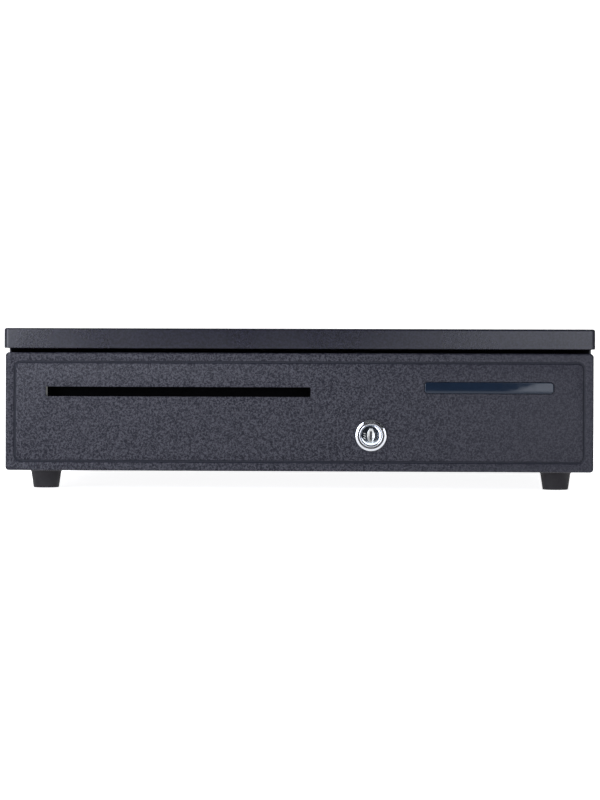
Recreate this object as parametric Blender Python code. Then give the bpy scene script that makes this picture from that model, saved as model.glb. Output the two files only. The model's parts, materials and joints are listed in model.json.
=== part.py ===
"""A till cash drawer: a steel case with a lift-off cover, and a drawer on roller runners.

Frame: +Z up, the drawer opens towards -Y, and the origin is on the table under the centre of the case.
All lengths are in metres. The model stands closed, with its latch drawn back as the solenoid holds it.
"""

import math

import bmesh
import bpy
from mathutils import Matrix, Vector

# ---------------------------------------------------------------- driving dimensions

COVER_WIDTH = 0.410
COVER_DEPTH = 0.415
COVER_SKIRT = 0.014  # height of the cover's folded edge
COVER_OVERHANG = 0.0022  # the cover's edge stands this far outside the case
COVER_CORNER = 0.003
COVER_EDGE = 0.0016  # rounding of the top fold
FOOT_HEIGHT = 0.0131
FRONT_HEIGHT = 0.082
FRONT_GAP = 0.003  # between the drawer front and the cover's lip
FRONT_DEPTH = 0.012
FRONT_OVERLAP = 0.0011  # the drawer front is this much wider than the case on each side
FRONT_CORNER = 0.0022
FRONT_EDGE = 0.0012
FRONT_SHEET = 0.0015
SHEET = 0.0012
CASE_FLANGE = 0.010  # inward fold at the top of each case side

SEAT = 0.0003  # gap between pieces that rest on each other
ROLL_GAP = 0.0002  # gap between a roller and what it rolls on
SHAFT_GAP = 0.0003  # radial gap of a pin in its hole

BEAD_INSET = 0.0066
BEAD_WIDTH = 0.0020
BEAD_DEPTH = 0.0006
BEAD_CORNER = 0.0042

SLOT_LENGTH = 0.184
SLOT_HEIGHT = 0.0067
SLOT_MARGIN = 0.0282  # from the left end of the front
SLOT_DROP = 0.0271  # from the top of the front to the slot's middle
POCKET_LENGTH = 0.090
POCKET_HEIGHT = 0.0086
POCKET_DEPTH = 0.0009
POCKET_CORNER = 0.0016
POCKET_MARGIN = 0.0271  # from the right end of the front
POCKET_DROP = 0.0238
PLATE_CLEARANCE = 0.0010  # the name plate is this much shorter at each end and lower at each edge
LOCK_SPACING = 0.042  # from the slot's right end to the lock
LOCK_DROP = 0.0568

ROLLER_RADIUS = 0.0088
ROLLER_WIDTH = 0.0079
ROLLER_CHAMFER = 0.0008
AXLE_RADIUS = 0.0025
RAIL_LIFT = 0.0126  # bottom of the case rail above the case floor
RAIL_PLAY = 0.0018  # between the drawer rail and the case rail's upper flange
RAIL_LEG = 0.012  # height of the drawer rail's leg
RUNNER_OVERLAP = 0.053  # roller spacing that is left when the drawer is open
FRONT_ROLLER_INSET = 0.012  # from the case's front edge to the front roller
REAR_ROLLER_INSET = 0.010  # from the drawer's back to the rear roller

DRAWER_CLEARANCE = 0.0063  # under the drawer
DRAWER_SIDE_DROP = 0.012  # from the top of the front to the top of the drawer's sides
DRAWER_FRONT_DROP = 0.006
REAR_BAY = 0.0553  # space behind the drawer for the latch, measured from the case's back

TILL_WALL = 0.002
TILL_PLAY = 0.0016  # around the till in the drawer
TILL_LIFT = 0.004  # the till's legs keep it clear of the release lever
TILL_TOP_DROP = 0.002  # from the top of the drawer's sides
FRONT_POCKET = 0.040  # between the drawer's front wall and the till
COIN_WELL = 0.140
LEDGE = 0.002
NOTE_COUNT = 5
COIN_COLUMNS = 4
COIN_ROWS = 2
COIN_WALL = 0.003
COIN_PLAY = 0.0006

CLIP_SHAFT_RADIUS = 0.002
CLIP_SHAFT_INSET = 0.011  # from the till's back wall
CLIP_SHAFT_DROP = 0.009  # from the till's rim
CLIP_MARGIN = 0.045  # clear length in front of a clip's tip
CLIP_STEEPEST = 1.2  # in a short compartment a clip is still this many times as long as its drop
CLIP_WIDTH = 0.036
CLIP_TIP_WIDTH = 0.026
CLIP_THICKNESS = 0.0024
CLIP_HUB = 0.0046
CLIP_SPRING_ROOM = 0.014  # gap between the two knuckles
CLIP_TOE = 0.002  # the tip's underside runs on this far past the blade
CLIP_LIFT_OFF = 0.0004  # between a lowered clip and the till's floor

# ---------------------------------------------------------------- places worked out from them

CASE_HALF = COVER_WIDTH / 2 - COVER_OVERHANG
CASE_WALL_X = CASE_HALF - SHEET  # inner face of a case side
FLOOR_TOP = FOOT_HEIGHT + SHEET
FRONT_TOP = FOOT_HEIGHT + FRONT_HEIGHT
HEIGHT = FRONT_TOP + FRONT_GAP + COVER_SKIRT
LID_UNDER = HEIGHT - SHEET
FACE_Y = -COVER_DEPTH / 2
CASE_FRONT_Y = FACE_Y + FRONT_DEPTH + 0.0005
CASE_REAR_Y = COVER_DEPTH / 2 - COVER_OVERHANG
FRONT_HALF = CASE_HALF + FRONT_OVERLAP

SLOT_X = -FRONT_HALF + SLOT_MARGIN + SLOT_LENGTH / 2
SLOT_Z = FRONT_TOP - SLOT_DROP
POCKET_X = FRONT_HALF - POCKET_MARGIN - POCKET_LENGTH / 2
POCKET_Z = FRONT_TOP - POCKET_DROP
LOCK_X = SLOT_X + SLOT_LENGTH / 2 + LOCK_SPACING
LOCK_Z = FRONT_TOP - LOCK_DROP

# Roller pins: a shoulder, a journal for the roller and a head, from the face of the rail's web.
PIN_SHOULDER = 0.0007
PIN_HEAD = 0.0009
PIN_HEAD_RADIUS = 0.004
JOURNAL = ROLLER_WIDTH + 0.0005
PIN_REACH = SEAT + PIN_SHOULDER + JOURNAL + PIN_HEAD
RUNNER_GAP = 2 * (SEAT + SHEET) + PIN_REACH + 0.0007

TRACK_Z = FLOOR_TOP + RAIL_LIFT + SHEET
ROLLER_Z = TRACK_Z + ROLL_GAP + ROLLER_RADIUS
RUNNER_Z = ROLLER_Z + ROLLER_RADIUS + ROLL_GAP  # underside of the drawer rail's flange
DRAWER_HALF = CASE_WALL_X - RUNNER_GAP
DRAWER_FRONT_Y = FACE_Y + FRONT_SHEET + SEAT
DRAWER_REAR_Y = CASE_REAR_Y - REAR_BAY
DRAWER_BOTTOM = FLOOR_TOP + DRAWER_CLEARANCE
DRAWER_FLOOR = DRAWER_BOTTOM + SHEET
DRAWER_TOP = FRONT_TOP - DRAWER_SIDE_DROP
FRONT_ROLLER_Y = CASE_FRONT_Y + FRONT_ROLLER_INSET
REAR_ROLLER_Y = DRAWER_REAR_Y - REAR_ROLLER_INSET
TRAVEL = REAR_ROLLER_Y - FRONT_ROLLER_Y - RUNNER_OVERLAP

TILL_HALF = DRAWER_HALF - SHEET - TILL_PLAY
TILL_FRONT_Y = DRAWER_FRONT_Y + SHEET + FRONT_POCKET
TILL_REAR_Y = DRAWER_REAR_Y - SHEET - TILL_PLAY
TILL_BOTTOM = DRAWER_FLOOR + SEAT + TILL_LIFT
TILL_FLOOR = TILL_BOTTOM + TILL_WALL
TILL_TOP = DRAWER_TOP - TILL_TOP_DROP
WELL_FRONT_Y = TILL_FRONT_Y + TILL_WALL + LEDGE
WELL_REAR_Y = WELL_FRONT_Y + COIN_WELL
NOTE_FRONT_Y = WELL_REAR_Y + LEDGE + TILL_WALL
NOTE_REAR_Y = TILL_REAR_Y - TILL_WALL
NOTE_WIDTH = (2 * TILL_HALF - (NOTE_COUNT + 1) * TILL_WALL) / NOTE_COUNT
NOTE_PITCH = NOTE_WIDTH + TILL_WALL

CLIP_Y = NOTE_REAR_Y - CLIP_SHAFT_INSET
CLIP_Z = TILL_TOP - CLIP_SHAFT_DROP
CLIP_DROP = CLIP_Z - TILL_FLOOR - CLIP_LIFT_OFF - CLIP_THICKNESS / 2
CLIP_LENGTH = max(CLIP_Y - NOTE_FRONT_Y - CLIP_MARGIN, CLIP_STEEPEST * CLIP_DROP)
CLIP_ANGLE = math.asin(CLIP_DROP / (CLIP_LENGTH + CLIP_TOE))

# Lock: distances behind the face of the drawer front.
LOCK_RING = 0.0111
LOCK_BARREL = 0.0093
LOCK_BORE = 0.0075
LOCK_PROUD = 0.0027
LOCK_LENGTH = 0.024
LOCK_NUT_FLATS = 0.024
LOCK_NUT_THICKNESS = 0.004
PLUG_RADIUS = LOCK_BORE - SHAFT_GAP - 0.0001
STUD_RADIUS = 0.003
CAM_THICKNESS = 0.002
CAM_AT = LOCK_LENGTH + 0.0006
BOLT_HALF_WIDTH = 0.004
BOLT_REACH = LOCK_Z - FOOT_HEIGHT - 0.0004
DRIVE_RADIUS = 0.007
DRIVE_PIN_RADIUS = 0.002
YOKE_AT = CAM_AT + CAM_THICKNESS + 0.0052
YOKE_THICKNESS = 0.002

# Latch, on the case floor behind the drawer.
BRACKET_TOP = FLOOR_TOP + SEAT + 0.0015
LATCH_Y = DRAWER_REAR_Y + 0.038
LATCH_LOW = DRAWER_FLOOR + 0.0073
LATCH_HIGH = LATCH_LOW + 0.003
LATCH_REST = math.radians(7)  # the lever stands this far each side of straight, released and hooked
LATCH_ARM = 0.016  # from the pivot to the plunger's pin
LATCH_NOSE_Y = -0.0265
LATCH_TIP_Y = -0.033
PLUNGER_Z = LATCH_HIGH + 0.006
PLUNGER_RADIUS = 0.004
COLLAR_AT = 0.009
COIL_X = 0.0258
COIL_LENGTH = 0.028
COIL_RADIUS = 0.0105
SPRING_SEAT_X = COIL_X - SEAT - 0.0015  # outer face of the solenoid's left plate

EJECTOR_X = -0.070
EJECTOR_Z = FLOOR_TOP + 0.0248
EJECTOR_PLATE_Y = DRAWER_REAR_Y + 0.028
EJECTOR_STEM = 0.003
EJECTOR_HEAD = 0.010
EJECTOR_HEAD_THICKNESS = 0.005
EJECTOR_LENGTH = 0.051

SWITCH_X = 0.064
SWITCH_SIZE = (0.028, 0.016, 0.0103)
SWITCH_Y = DRAWER_REAR_Y + 0.008
SOCKET_X = 0.119
SOCKET_Z = FOOT_HEIGHT + 0.026
SOCKET_HALF = 0.007

# Release lever, from the lock's yoke to the latch, pivoted so that its rear end moves further.
YOKE_Y = FACE_Y + YOKE_AT + YOKE_THICKNESS / 2
LEVER_TIP = Vector((-0.0135, LATCH_Y - LATCH_ARM))
LEVER_RATIO = 7 / 17  # share of the lever's length that lies in front of its pivot
LEVER_FRONT = Vector((LOCK_X, YOKE_Y))
LEVER_PIVOT = LEVER_FRONT.lerp(LEVER_TIP, LEVER_RATIO)
LEVER_LOW = DRAWER_FLOOR + 0.0008
LEVER_HIGH = LEVER_LOW + 0.002

# ---------------------------------------------------------------- mesh tools


def box(x, y, z):
    """A block between pairs of coordinates."""
    made = bmesh.new()
    size = Matrix.Diagonal((x[1] - x[0], y[1] - y[0], z[1] - z[0], 1))
    middle = Matrix.Translation(((x[0] + x[1]) / 2, (y[0] + y[1]) / 2, (z[0] + z[1]) / 2))
    bmesh.ops.create_cube(made, size=1, matrix=middle @ size)
    return made


def several(*parts):
    """Shapes that don't touch, in one mesh, for use as one cutter."""
    made = bmesh.new()
    for part in parts:
        scratch = bpy.data.meshes.new("scratch")
        part.to_mesh(scratch)
        part.free()
        made.from_mesh(scratch)
        bpy.data.meshes.remove(scratch)
    return made


def on_axis(axis, u, v, along):
    """The point (u, v) of an outline drawn across axis, at a distance along it."""
    return {"X": (along, u, v), "Y": (u, along, v), "Z": (u, v, along)}[axis]


def lofted(rings, axis):
    """A closed skin over rings of (outline, distance along axis), with an n-gon at each end."""
    made = bmesh.new()
    loops = [
        [made.verts.new(on_axis(axis, u, v, along)) for u, v in outline] for outline, along in rings
    ]
    for low, high in zip(loops, loops[1:]):
        for i in range(len(low)):
            j = (i + 1) % len(low)
            made.faces.new((low[i], low[j], high[j], high[i]))
    made.faces.new(loops[0])
    made.faces.new(loops[-1])
    bmesh.ops.recalc_face_normals(made, faces=made.faces)
    return made


def prism(outline, axis, low, high):
    return lofted([(outline, low), (outline, high)], axis)


def circle(radius, sides, centre=(0, 0)):
    steps = (2 * math.pi * i / sides for i in range(sides))
    return [(centre[0] + radius * math.cos(a), centre[1] + radius * math.sin(a)) for a in steps]


def arc(centre, radius, start, end, steps):
    """Points on an arc from start to end, both in degrees and both included."""
    angles = (math.radians(start + (end - start) * i / steps) for i in range(steps + 1))
    return [(centre[0] + radius * math.cos(a), centre[1] + radius * math.sin(a)) for a in angles]


def rounded(width, height, radius, centre=(0, 0), steps=3):
    """The outline of a rectangle with round corners."""
    u, v = width / 2 - radius, height / 2 - radius
    corners = ((u, v, 0), (-u, v, 90), (-u, -v, 180), (u, -v, 270))
    return [
        point
        for cu, cv, start in corners
        for point in arc((centre[0] + cu, centre[1] + cv), radius, start, start + 90, steps)
    ]


def turned(profile, axis, sides=24, closed=False):
    """A turned piece: the profile's points are (radius, distance along axis)."""
    made = bmesh.new()
    verts = [made.verts.new(on_axis(axis, radius, 0, along)) for radius, along in profile]
    edges = [made.edges.new(pair) for pair in zip(verts, verts[1:])]
    if closed:
        edges.append(made.edges.new((verts[-1], verts[0])))
    bmesh.ops.spin(
        made,
        geom=verts + edges,
        cent=(0, 0, 0),
        axis=on_axis(axis, 0, 0, 1),
        angle=2 * math.pi,
        steps=sides,
        use_merge=True,
    )
    bmesh.ops.remove_doubles(made, verts=made.verts, dist=1e-6)
    bmesh.ops.recalc_face_normals(made, faces=made.faces)
    return made


def swept(path, radius, sides):
    """A round wire along a path of points, with flat ends."""
    made = bmesh.new()
    points = [Vector(p) for p in path]
    across = (points[1] - points[0]).orthogonal().normalized()
    loops = []
    for i, point in enumerate(points):
        ahead = points[min(i + 1, len(points) - 1)] - points[max(i - 1, 0)]
        ahead.normalize()
        across = (across - ahead * across.dot(ahead)).normalized()
        side = ahead.cross(across)
        turns = (2 * math.pi * k / sides for k in range(sides))
        loops.append(
            [made.verts.new(point + radius * (across * math.cos(a) + side * math.sin(a))) for a in turns]
        )
    for low, high in zip(loops, loops[1:]):
        for k in range(sides):
            j = (k + 1) % sides
            made.faces.new((low[k], low[j], high[j], high[k]))
    made.faces.new(loops[0])
    made.faces.new(loops[-1])
    bmesh.ops.recalc_face_normals(made, faces=made.faces)
    return made


def coil(radius, wire, length, turns, axis, steps=12, sides=5):
    """A coil spring of mean radius, between 0 and length along axis, outer faces included."""
    travel = length - 2 * wire
    count = round(turns * steps)
    path = []
    for i in range(count + 1):
        a = 2 * math.pi * turns * i / count
        path.append(on_axis(axis, radius * math.cos(a), radius * math.sin(a), wire + travel * i / count))
    return swept(path, wire, sides)


# ---------------------------------------------------------------- object tools


def material(name, colour, roughness, metallic=0.0):
    made = bpy.data.materials.new(name)
    made.use_nodes = True
    shader = made.node_tree.nodes["Principled BSDF"]
    shader.inputs["Base Color"].default_value = (*colour, 1)
    shader.inputs["Roughness"].default_value = roughness
    shader.inputs["Metallic"].default_value = metallic
    return made


def group(name, parent=None, at=(0, 0, 0)):
    """An empty that carries the pieces of one moving body. Its place is in the world frame."""
    empty = bpy.data.objects.new(name, None)
    bpy.context.scene.collection.objects.link(empty)
    empty.parent = parent
    empty.location = Vector(at) - (parent.matrix_world.translation if parent else Vector())
    bpy.context.view_layer.update()
    return empty


def piece(name, mesh, finish, parent, at=(0, 0, 0), turn=(0, 0, 0)):
    """One sub-part. Its shape is drawn about its own origin, which at places in the world frame."""
    if isinstance(mesh, bmesh.types.BMesh):
        shape = bpy.data.meshes.new(name)
        mesh.to_mesh(shape)
        mesh.free()
        shape.materials.append(finish)
        shape.shade_smooth()
        shape.set_sharp_from_angle(angle=math.radians(30))
    else:
        shape = mesh
    made = bpy.data.objects.new(name, shape)
    bpy.context.scene.collection.objects.link(made)
    made.parent = parent
    made.location = Vector(at) - parent.matrix_world.translation
    made.rotation_euler = turn
    return made


def combine(target, mesh, operation):
    """A Boolean with a shape drawn about the target's own origin."""
    shape = bpy.data.meshes.new("helper")
    mesh.to_mesh(shape)
    mesh.free()
    helper = bpy.data.objects.new(target.name + "_helper", shape)
    bpy.context.scene.collection.objects.link(helper)
    helper.parent = target
    helper.hide_render = True
    helper.display_type = "WIRE"
    modifier = target.modifiers.new(operation.title(), "BOOLEAN")
    modifier.operation = operation
    modifier.solver = "EXACT"
    modifier.object = helper


def cut(target, mesh):
    combine(target, mesh, "DIFFERENCE")


def fuse(target, mesh):
    combine(target, mesh, "UNION")


# ---------------------------------------------------------------- case


def top_cover(case, finish):
    def ring(inset, z):
        corner = max(COVER_CORNER - inset, 0.0005)
        return rounded(COVER_WIDTH - 2 * inset, COVER_DEPTH - 2 * inset, corner), z

    bend = COVER_EDGE * (1 - math.sqrt(0.5))
    low = HEIGHT - COVER_SKIRT
    rings = [
        ring(SHEET, LID_UNDER),
        ring(SHEET, low),
        ring(0, low),
        ring(0, HEIGHT - COVER_EDGE),
        ring(bend, HEIGHT - bend),
        ring(COVER_EDGE, HEIGHT),
    ]
    piece("top_cover", lofted(rings, "Z"), finish, case)


def foot_places():
    inset_x, inset_y = 0.0232, 0.0355
    for side_name, side in (("left", -1), ("right", 1)):
        for end_name, y in (("front", FACE_Y + inset_y), ("rear", CASE_REAR_Y - inset_y)):
            yield f"foot_{end_name}_{side_name}", (side * (CASE_HALF - inset_x), y)


FOOT_NECK = 0.0028


def base_pan(case, finish):
    """Floor, sides and the flanges that carry the cover, folded from one sheet."""
    half, wall = CASE_HALF, CASE_WALL_X
    flange = CASE_HALF - CASE_FLANGE
    top = LID_UNDER - SEAT
    right = [
        (half, FOOT_HEIGHT),
        (half, top),
        (flange, top),
        (flange, top - SHEET),
        (wall, top - SHEET),
        (wall, FLOOR_TOP),
    ]
    outline = right + [(-x, z) for x, z in reversed(right)]
    pan = piece("base_pan", prism(outline, "Y", CASE_FRONT_Y, CASE_REAR_Y), finish, case)
    through = (FOOT_HEIGHT - 0.002, FLOOR_TOP + 0.002)
    holes = [
        prism(circle(FOOT_NECK + SHAFT_GAP, 16, place), "Z", *through) for _, place in foot_places()
    ]
    slot_y = FACE_Y + CAM_AT + CAM_THICKNESS / 2
    corner_reach = math.hypot(BOLT_REACH, BOLT_HALF_WIDTH)
    slot_left = math.sqrt(corner_reach**2 - (LOCK_Z - FLOOR_TOP) ** 2) + 0.001
    bolt_slot = box(
        (LOCK_X - slot_left, LOCK_X + BOLT_HALF_WIDTH + 0.001),
        (slot_y - 0.0022, slot_y + 0.0022),
        through,
    )
    cut(pan, several(*holes, bolt_slot))


def back_panel(case, finish):
    """A shallow pan with its open side forward, set inside the base pan's rear end."""
    low = FLOOR_TOP + SEAT
    high = LID_UNDER - SEAT - SHEET - SEAT
    width, height = 2 * (CASE_WALL_X - SEAT), high - low
    centre = (0, (low + high) / 2)
    depth = 0.010

    def ring(inset, y):
        return rounded(width - 2 * inset, height - 2 * inset, 0.002 - inset, centre), y

    rings = [
        ring(SHEET, CASE_REAR_Y - SHEET),
        ring(SHEET, CASE_REAR_Y - depth),
        ring(0, CASE_REAR_Y - depth),
        ring(0, CASE_REAR_Y),
    ]
    panel = piece("back_panel", lofted(rings, "Y"), finish, case)
    reach = SOCKET_HALF + SEAT
    cut(
        panel,
        box(
            (SOCKET_X - reach, SOCKET_X + reach),
            (CASE_REAR_Y - depth, CASE_REAR_Y + 0.002),
            (SOCKET_Z - reach, SOCKET_Z + reach),
        ),
    )


def feet(case, finish):
    """Push-in rubber feet: a tapered foot, a neck through the floor and a barbed head above it."""
    top_radius, bottom_radius = 0.0112, 0.0090
    recess, recess_depth = 0.0050, 0.0040
    head, head_height = 0.0046, 0.003
    profile = [
        (0, recess_depth),
        (recess, recess_depth),
        (recess + 0.0005, 0),
        (bottom_radius - 0.0005, 0),
        (bottom_radius, 0.0005),
        (top_radius, FOOT_HEIGHT - SEAT),
        (FOOT_NECK, FOOT_HEIGHT - SEAT),
        (FOOT_NECK, FLOOR_TOP + SEAT),
        (head, FLOOR_TOP + SEAT),
        (head / 2, FLOOR_TOP + SEAT + head_height),
        (0, FLOOR_TOP + SEAT + head_height),
    ]
    shape = None
    for name, place in foot_places():
        foot = piece(name, shape or turned(profile, "Z", sides=20), finish, case, at=(*place, 0))
        shape = foot.data


# ---------------------------------------------------------------- runners


def case_rail(case, name, side, finish):
    """A C channel on the case side, open towards the drawer, with a stop for the rear roller."""
    web = CASE_WALL_X - SEAT
    open_x = DRAWER_HALF + SEAT + SHEET + 0.0015
    low = TRACK_Z - SHEET
    high = RUNNER_Z + SHEET + RAIL_PLAY
    outline = [
        (side * x, z)
        for x, z in (
            (web, low),
            (web, high + SHEET),
            (open_x, high + SHEET),
            (open_x, high),
            (web - SHEET, high),
            (web - SHEET, TRACK_Z),
            (open_x, TRACK_Z),
            (open_x, low),
        )
    ]
    front, rear = CASE_FRONT_Y + 0.003, DRAWER_REAR_Y + 0.020
    rail = piece(name, prism(outline, "Y", front, rear), finish, case)
    stop_y = REAR_ROLLER_Y - TRAVEL - ROLLER_RADIUS - 0.001
    stop_x = sorted((side * (open_x + 0.001), side * (web - SHEET / 2)))
    fuse(rail, box(stop_x, (stop_y - SHEET, stop_y), (TRACK_Z - SHEET / 2, TRACK_Z + 0.006)))
    hole = circle(AXLE_RADIUS + SHAFT_GAP, 16, (FRONT_ROLLER_Y, ROLLER_Z))
    hole_x = sorted((side * (web - 2 * SHEET), side * (web + SHEET)))
    cut(rail, prism(hole, "X", *hole_x))


def drawer_rail(drawer, name, side, finish):
    """An angle on the drawer's side. Its flange runs on the case's front roller."""
    web = DRAWER_HALF + SEAT
    flange = CASE_WALL_X - SEAT - SHEET - 0.0008
    outline = [
        (side * x, z)
        for x, z in (
            (web, RUNNER_Z - RAIL_LEG),
            (web + SHEET, RUNNER_Z - RAIL_LEG),
            (web + SHEET, RUNNER_Z),
            (flange, RUNNER_Z),
            (flange, RUNNER_Z + SHEET),
            (web, RUNNER_Z + SHEET),
        )
    ]
    front, rear = CASE_FRONT_Y + 0.005, DRAWER_REAR_Y - 0.001
    rail = piece(name, prism(outline, "Y", front, rear), finish, drawer)
    hole = circle(AXLE_RADIUS + SHAFT_GAP, 16, (REAR_ROLLER_Y, ROLLER_Z))
    hole_x = sorted((side * (web - SHEET), side * (web + 2 * SHEET)))
    cut(rail, prism(hole, "X", *hole_x))


def roller_pin(body, name, web_face, facing, y, finish):
    """A riveted pin. It stands facing (+1 or -1 along X) from the rail's web_face."""
    journal_end = SEAT + PIN_SHOULDER + JOURNAL
    profile = [
        (0, -SHEET + 0.0001),
        (AXLE_RADIUS, -SHEET + 0.0001),
        (AXLE_RADIUS, SEAT),
        (PIN_HEAD_RADIUS, SEAT),
        (PIN_HEAD_RADIUS, SEAT + PIN_SHOULDER),
        (AXLE_RADIUS, SEAT + PIN_SHOULDER),
        (AXLE_RADIUS, journal_end),
        (PIN_HEAD_RADIUS, journal_end),
        (PIN_HEAD_RADIUS - 0.0003, PIN_REACH),
        (0, PIN_REACH),
    ]
    shape = turned([(radius, facing * along) for radius, along in profile], "X", sides=16)
    piece(name, shape, finish, body, at=(web_face, y, ROLLER_Z))


def roller(parent, name, x, y, finish):
    """A nylon wheel, on its own empty so that it spins about its pin."""
    half = ROLLER_WIDTH / 2
    bore = AXLE_RADIUS + SHAFT_GAP
    rim = ROLLER_RADIUS - ROLLER_CHAMFER
    dish, dish_depth = (0.0042, 0.0068), 0.0012
    profile = [
        (bore, -half),
        (dish[0], -half),
        (dish[0], -half + dish_depth),
        (dish[1], -half + dish_depth),
        (dish[1], -half),
        (rim, -half),
        (ROLLER_RADIUS, -half + ROLLER_CHAMFER),
        (ROLLER_RADIUS, half - ROLLER_CHAMFER),
        (rim, half),
        (bore, half),
    ]
    spin = group(name + "_axis", parent, (x, y, ROLLER_Z))
    piece(name, turned(profile, "X", sides=20, closed=True), finish, spin, at=(x, y, ROLLER_Z))


def runners(case, drawer, steel, zinc, nylon):
    middle = SEAT + PIN_SHOULDER + JOURNAL / 2  # from the web's face to the roller's middle
    for name, side in (("left", -1), ("right", 1)):
        case_rail(case, f"case_rail_{name}", side, steel)
        drawer_rail(drawer, f"drawer_rail_{name}", side, steel)
        case_web = CASE_WALL_X - SEAT - SHEET
        roller_pin(case, f"front_roller_pin_{name}", side * case_web, -side, FRONT_ROLLER_Y, zinc)
        roller(case, f"front_roller_{name}", side * (case_web - middle), FRONT_ROLLER_Y, nylon)
        drawer_web = DRAWER_HALF + SEAT + SHEET
        roller_pin(drawer, f"rear_roller_pin_{name}", side * drawer_web, side, REAR_ROLLER_Y, zinc)
        roller(drawer, f"rear_roller_{name}", side * (drawer_web + middle), REAR_ROLLER_Y, nylon)


# ---------------------------------------------------------------- drawer and its front


def drawer_box(drawer, finish):
    """The folded steel box, with openings for the notes slot, the lock, its bolt and the lever."""
    outer = box(
        (-DRAWER_HALF, DRAWER_HALF), (DRAWER_FRONT_Y, DRAWER_REAR_Y), (DRAWER_BOTTOM, DRAWER_TOP)
    )
    tray = piece("drawer_box", outer, finish, drawer)
    inner_x = (-DRAWER_HALF + SHEET, DRAWER_HALF - SHEET)
    inner_y = (DRAWER_FRONT_Y + SHEET, DRAWER_REAR_Y - SHEET)
    cut(tray, box(inner_x, inner_y, (DRAWER_FLOOR, DRAWER_TOP + 0.01)))
    raised = DRAWER_SIDE_DROP - DRAWER_FRONT_DROP
    front_wall = (DRAWER_FRONT_Y, DRAWER_FRONT_Y + SHEET)
    fuse(
        tray,
        box(
            (-DRAWER_HALF + 0.006, DRAWER_HALF - 0.006),
            front_wall,
            (DRAWER_TOP - 0.004, DRAWER_TOP + raised),
        ),
    )
    through_y = (DRAWER_FRONT_Y - 0.002, DRAWER_FRONT_Y + 0.005)
    slot = box(
        (SLOT_X - SLOT_LENGTH / 2 - 0.001, SLOT_X + SLOT_LENGTH / 2 + 0.001),
        through_y,
        (SLOT_Z - SLOT_HEIGHT / 2 - 0.001, SLOT_Z + SLOT_HEIGHT / 2 + 0.001),
    )
    lock = prism(circle(LOCK_BARREL + SHAFT_GAP, 24, (LOCK_X, LOCK_Z)), "Y", *through_y)
    cam_y = FACE_Y + CAM_AT + CAM_THICKNESS / 2
    reach = math.hypot(BOLT_REACH, BOLT_HALF_WIDTH)
    bolt_left = math.sqrt(reach**2 - (LOCK_Z - DRAWER_FLOOR) ** 2) + 0.0015
    bolt = box(
        (LOCK_X - bolt_left, LOCK_X + BOLT_HALF_WIDTH + 0.001),
        (cam_y - 0.0022, cam_y + 0.0022),
        (DRAWER_BOTTOM - 0.002, DRAWER_FLOOR + 0.002),
    )
    pivot = prism(
        circle(0.0023 + SHAFT_GAP, 16, LEVER_PIVOT), "Z", DRAWER_BOTTOM - 0.002, DRAWER_FLOOR + 0.002
    )
    share = (DRAWER_REAR_Y - YOKE_Y) / (LEVER_TIP.y - YOKE_Y)
    lever_x = LOCK_X + share * (LEVER_TIP.x - LOCK_X)
    swing = DRIVE_RADIUS * (DRAWER_REAR_Y - LEVER_PIVOT.y) / (LEVER_PIVOT.y - YOKE_Y)
    half = 0.0057 + swing
    lever = box(
        (lever_x - half, lever_x + half),
        (DRAWER_REAR_Y - 0.004, DRAWER_REAR_Y + 0.002),
        (LEVER_LOW - 0.0004, LEVER_HIGH + 0.0008),
    )
    cut(tray, several(slot, lock, bolt, pivot, lever))


def front_panel(drawer, finish):
    """A pressed pan: a face with a sunk bead line near its edge, and short sides folded back."""
    width, height = 2 * FRONT_HALF, FRONT_HEIGHT
    centre = (0, FOOT_HEIGHT + height / 2)

    def ring(inset, corner, behind):
        return rounded(width - 2 * inset, height - 2 * inset, corner, centre, steps=4), FACE_Y + behind

    bend = FRONT_EDGE * (1 - math.sqrt(0.5))
    half_bead = BEAD_WIDTH / 2
    rings = [
        ring(FRONT_SHEET, FRONT_CORNER - FRONT_SHEET, FRONT_SHEET),
        ring(FRONT_SHEET, FRONT_CORNER - FRONT_SHEET, FRONT_DEPTH),
        ring(0, FRONT_CORNER, FRONT_DEPTH),
        ring(0, FRONT_CORNER, FRONT_EDGE),
        ring(bend, FRONT_CORNER - bend, bend),
        ring(FRONT_EDGE, FRONT_CORNER - FRONT_EDGE, 0),
        ring(BEAD_INSET - half_bead, BEAD_CORNER + half_bead, 0),
        ring(BEAD_INSET - half_bead / 3, BEAD_CORNER + half_bead / 3, BEAD_DEPTH),
        ring(BEAD_INSET + half_bead / 3, BEAD_CORNER - half_bead / 3, BEAD_DEPTH),
        ring(BEAD_INSET + half_bead, BEAD_CORNER - half_bead, 0),
    ]
    panel = piece("front_panel", lofted(rings, "Y"), finish, drawer)
    ahead = FACE_Y - 0.002
    behind = FACE_Y + FRONT_SHEET + 0.002
    slot = box(
        (SLOT_X - SLOT_LENGTH / 2, SLOT_X + SLOT_LENGTH / 2),
        (ahead, behind),
        (SLOT_Z - SLOT_HEIGHT / 2, SLOT_Z + SLOT_HEIGHT / 2),
    )
    pocket = rounded(POCKET_LENGTH, POCKET_HEIGHT, POCKET_CORNER, (POCKET_X, POCKET_Z))
    lock = circle(LOCK_BARREL + SHAFT_GAP, 24, (LOCK_X, LOCK_Z))
    cut(
        panel,
        several(
            slot,
            prism(pocket, "Y", ahead, FACE_Y + POCKET_DEPTH),
            prism(lock, "Y", ahead, behind),
        ),
    )


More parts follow.
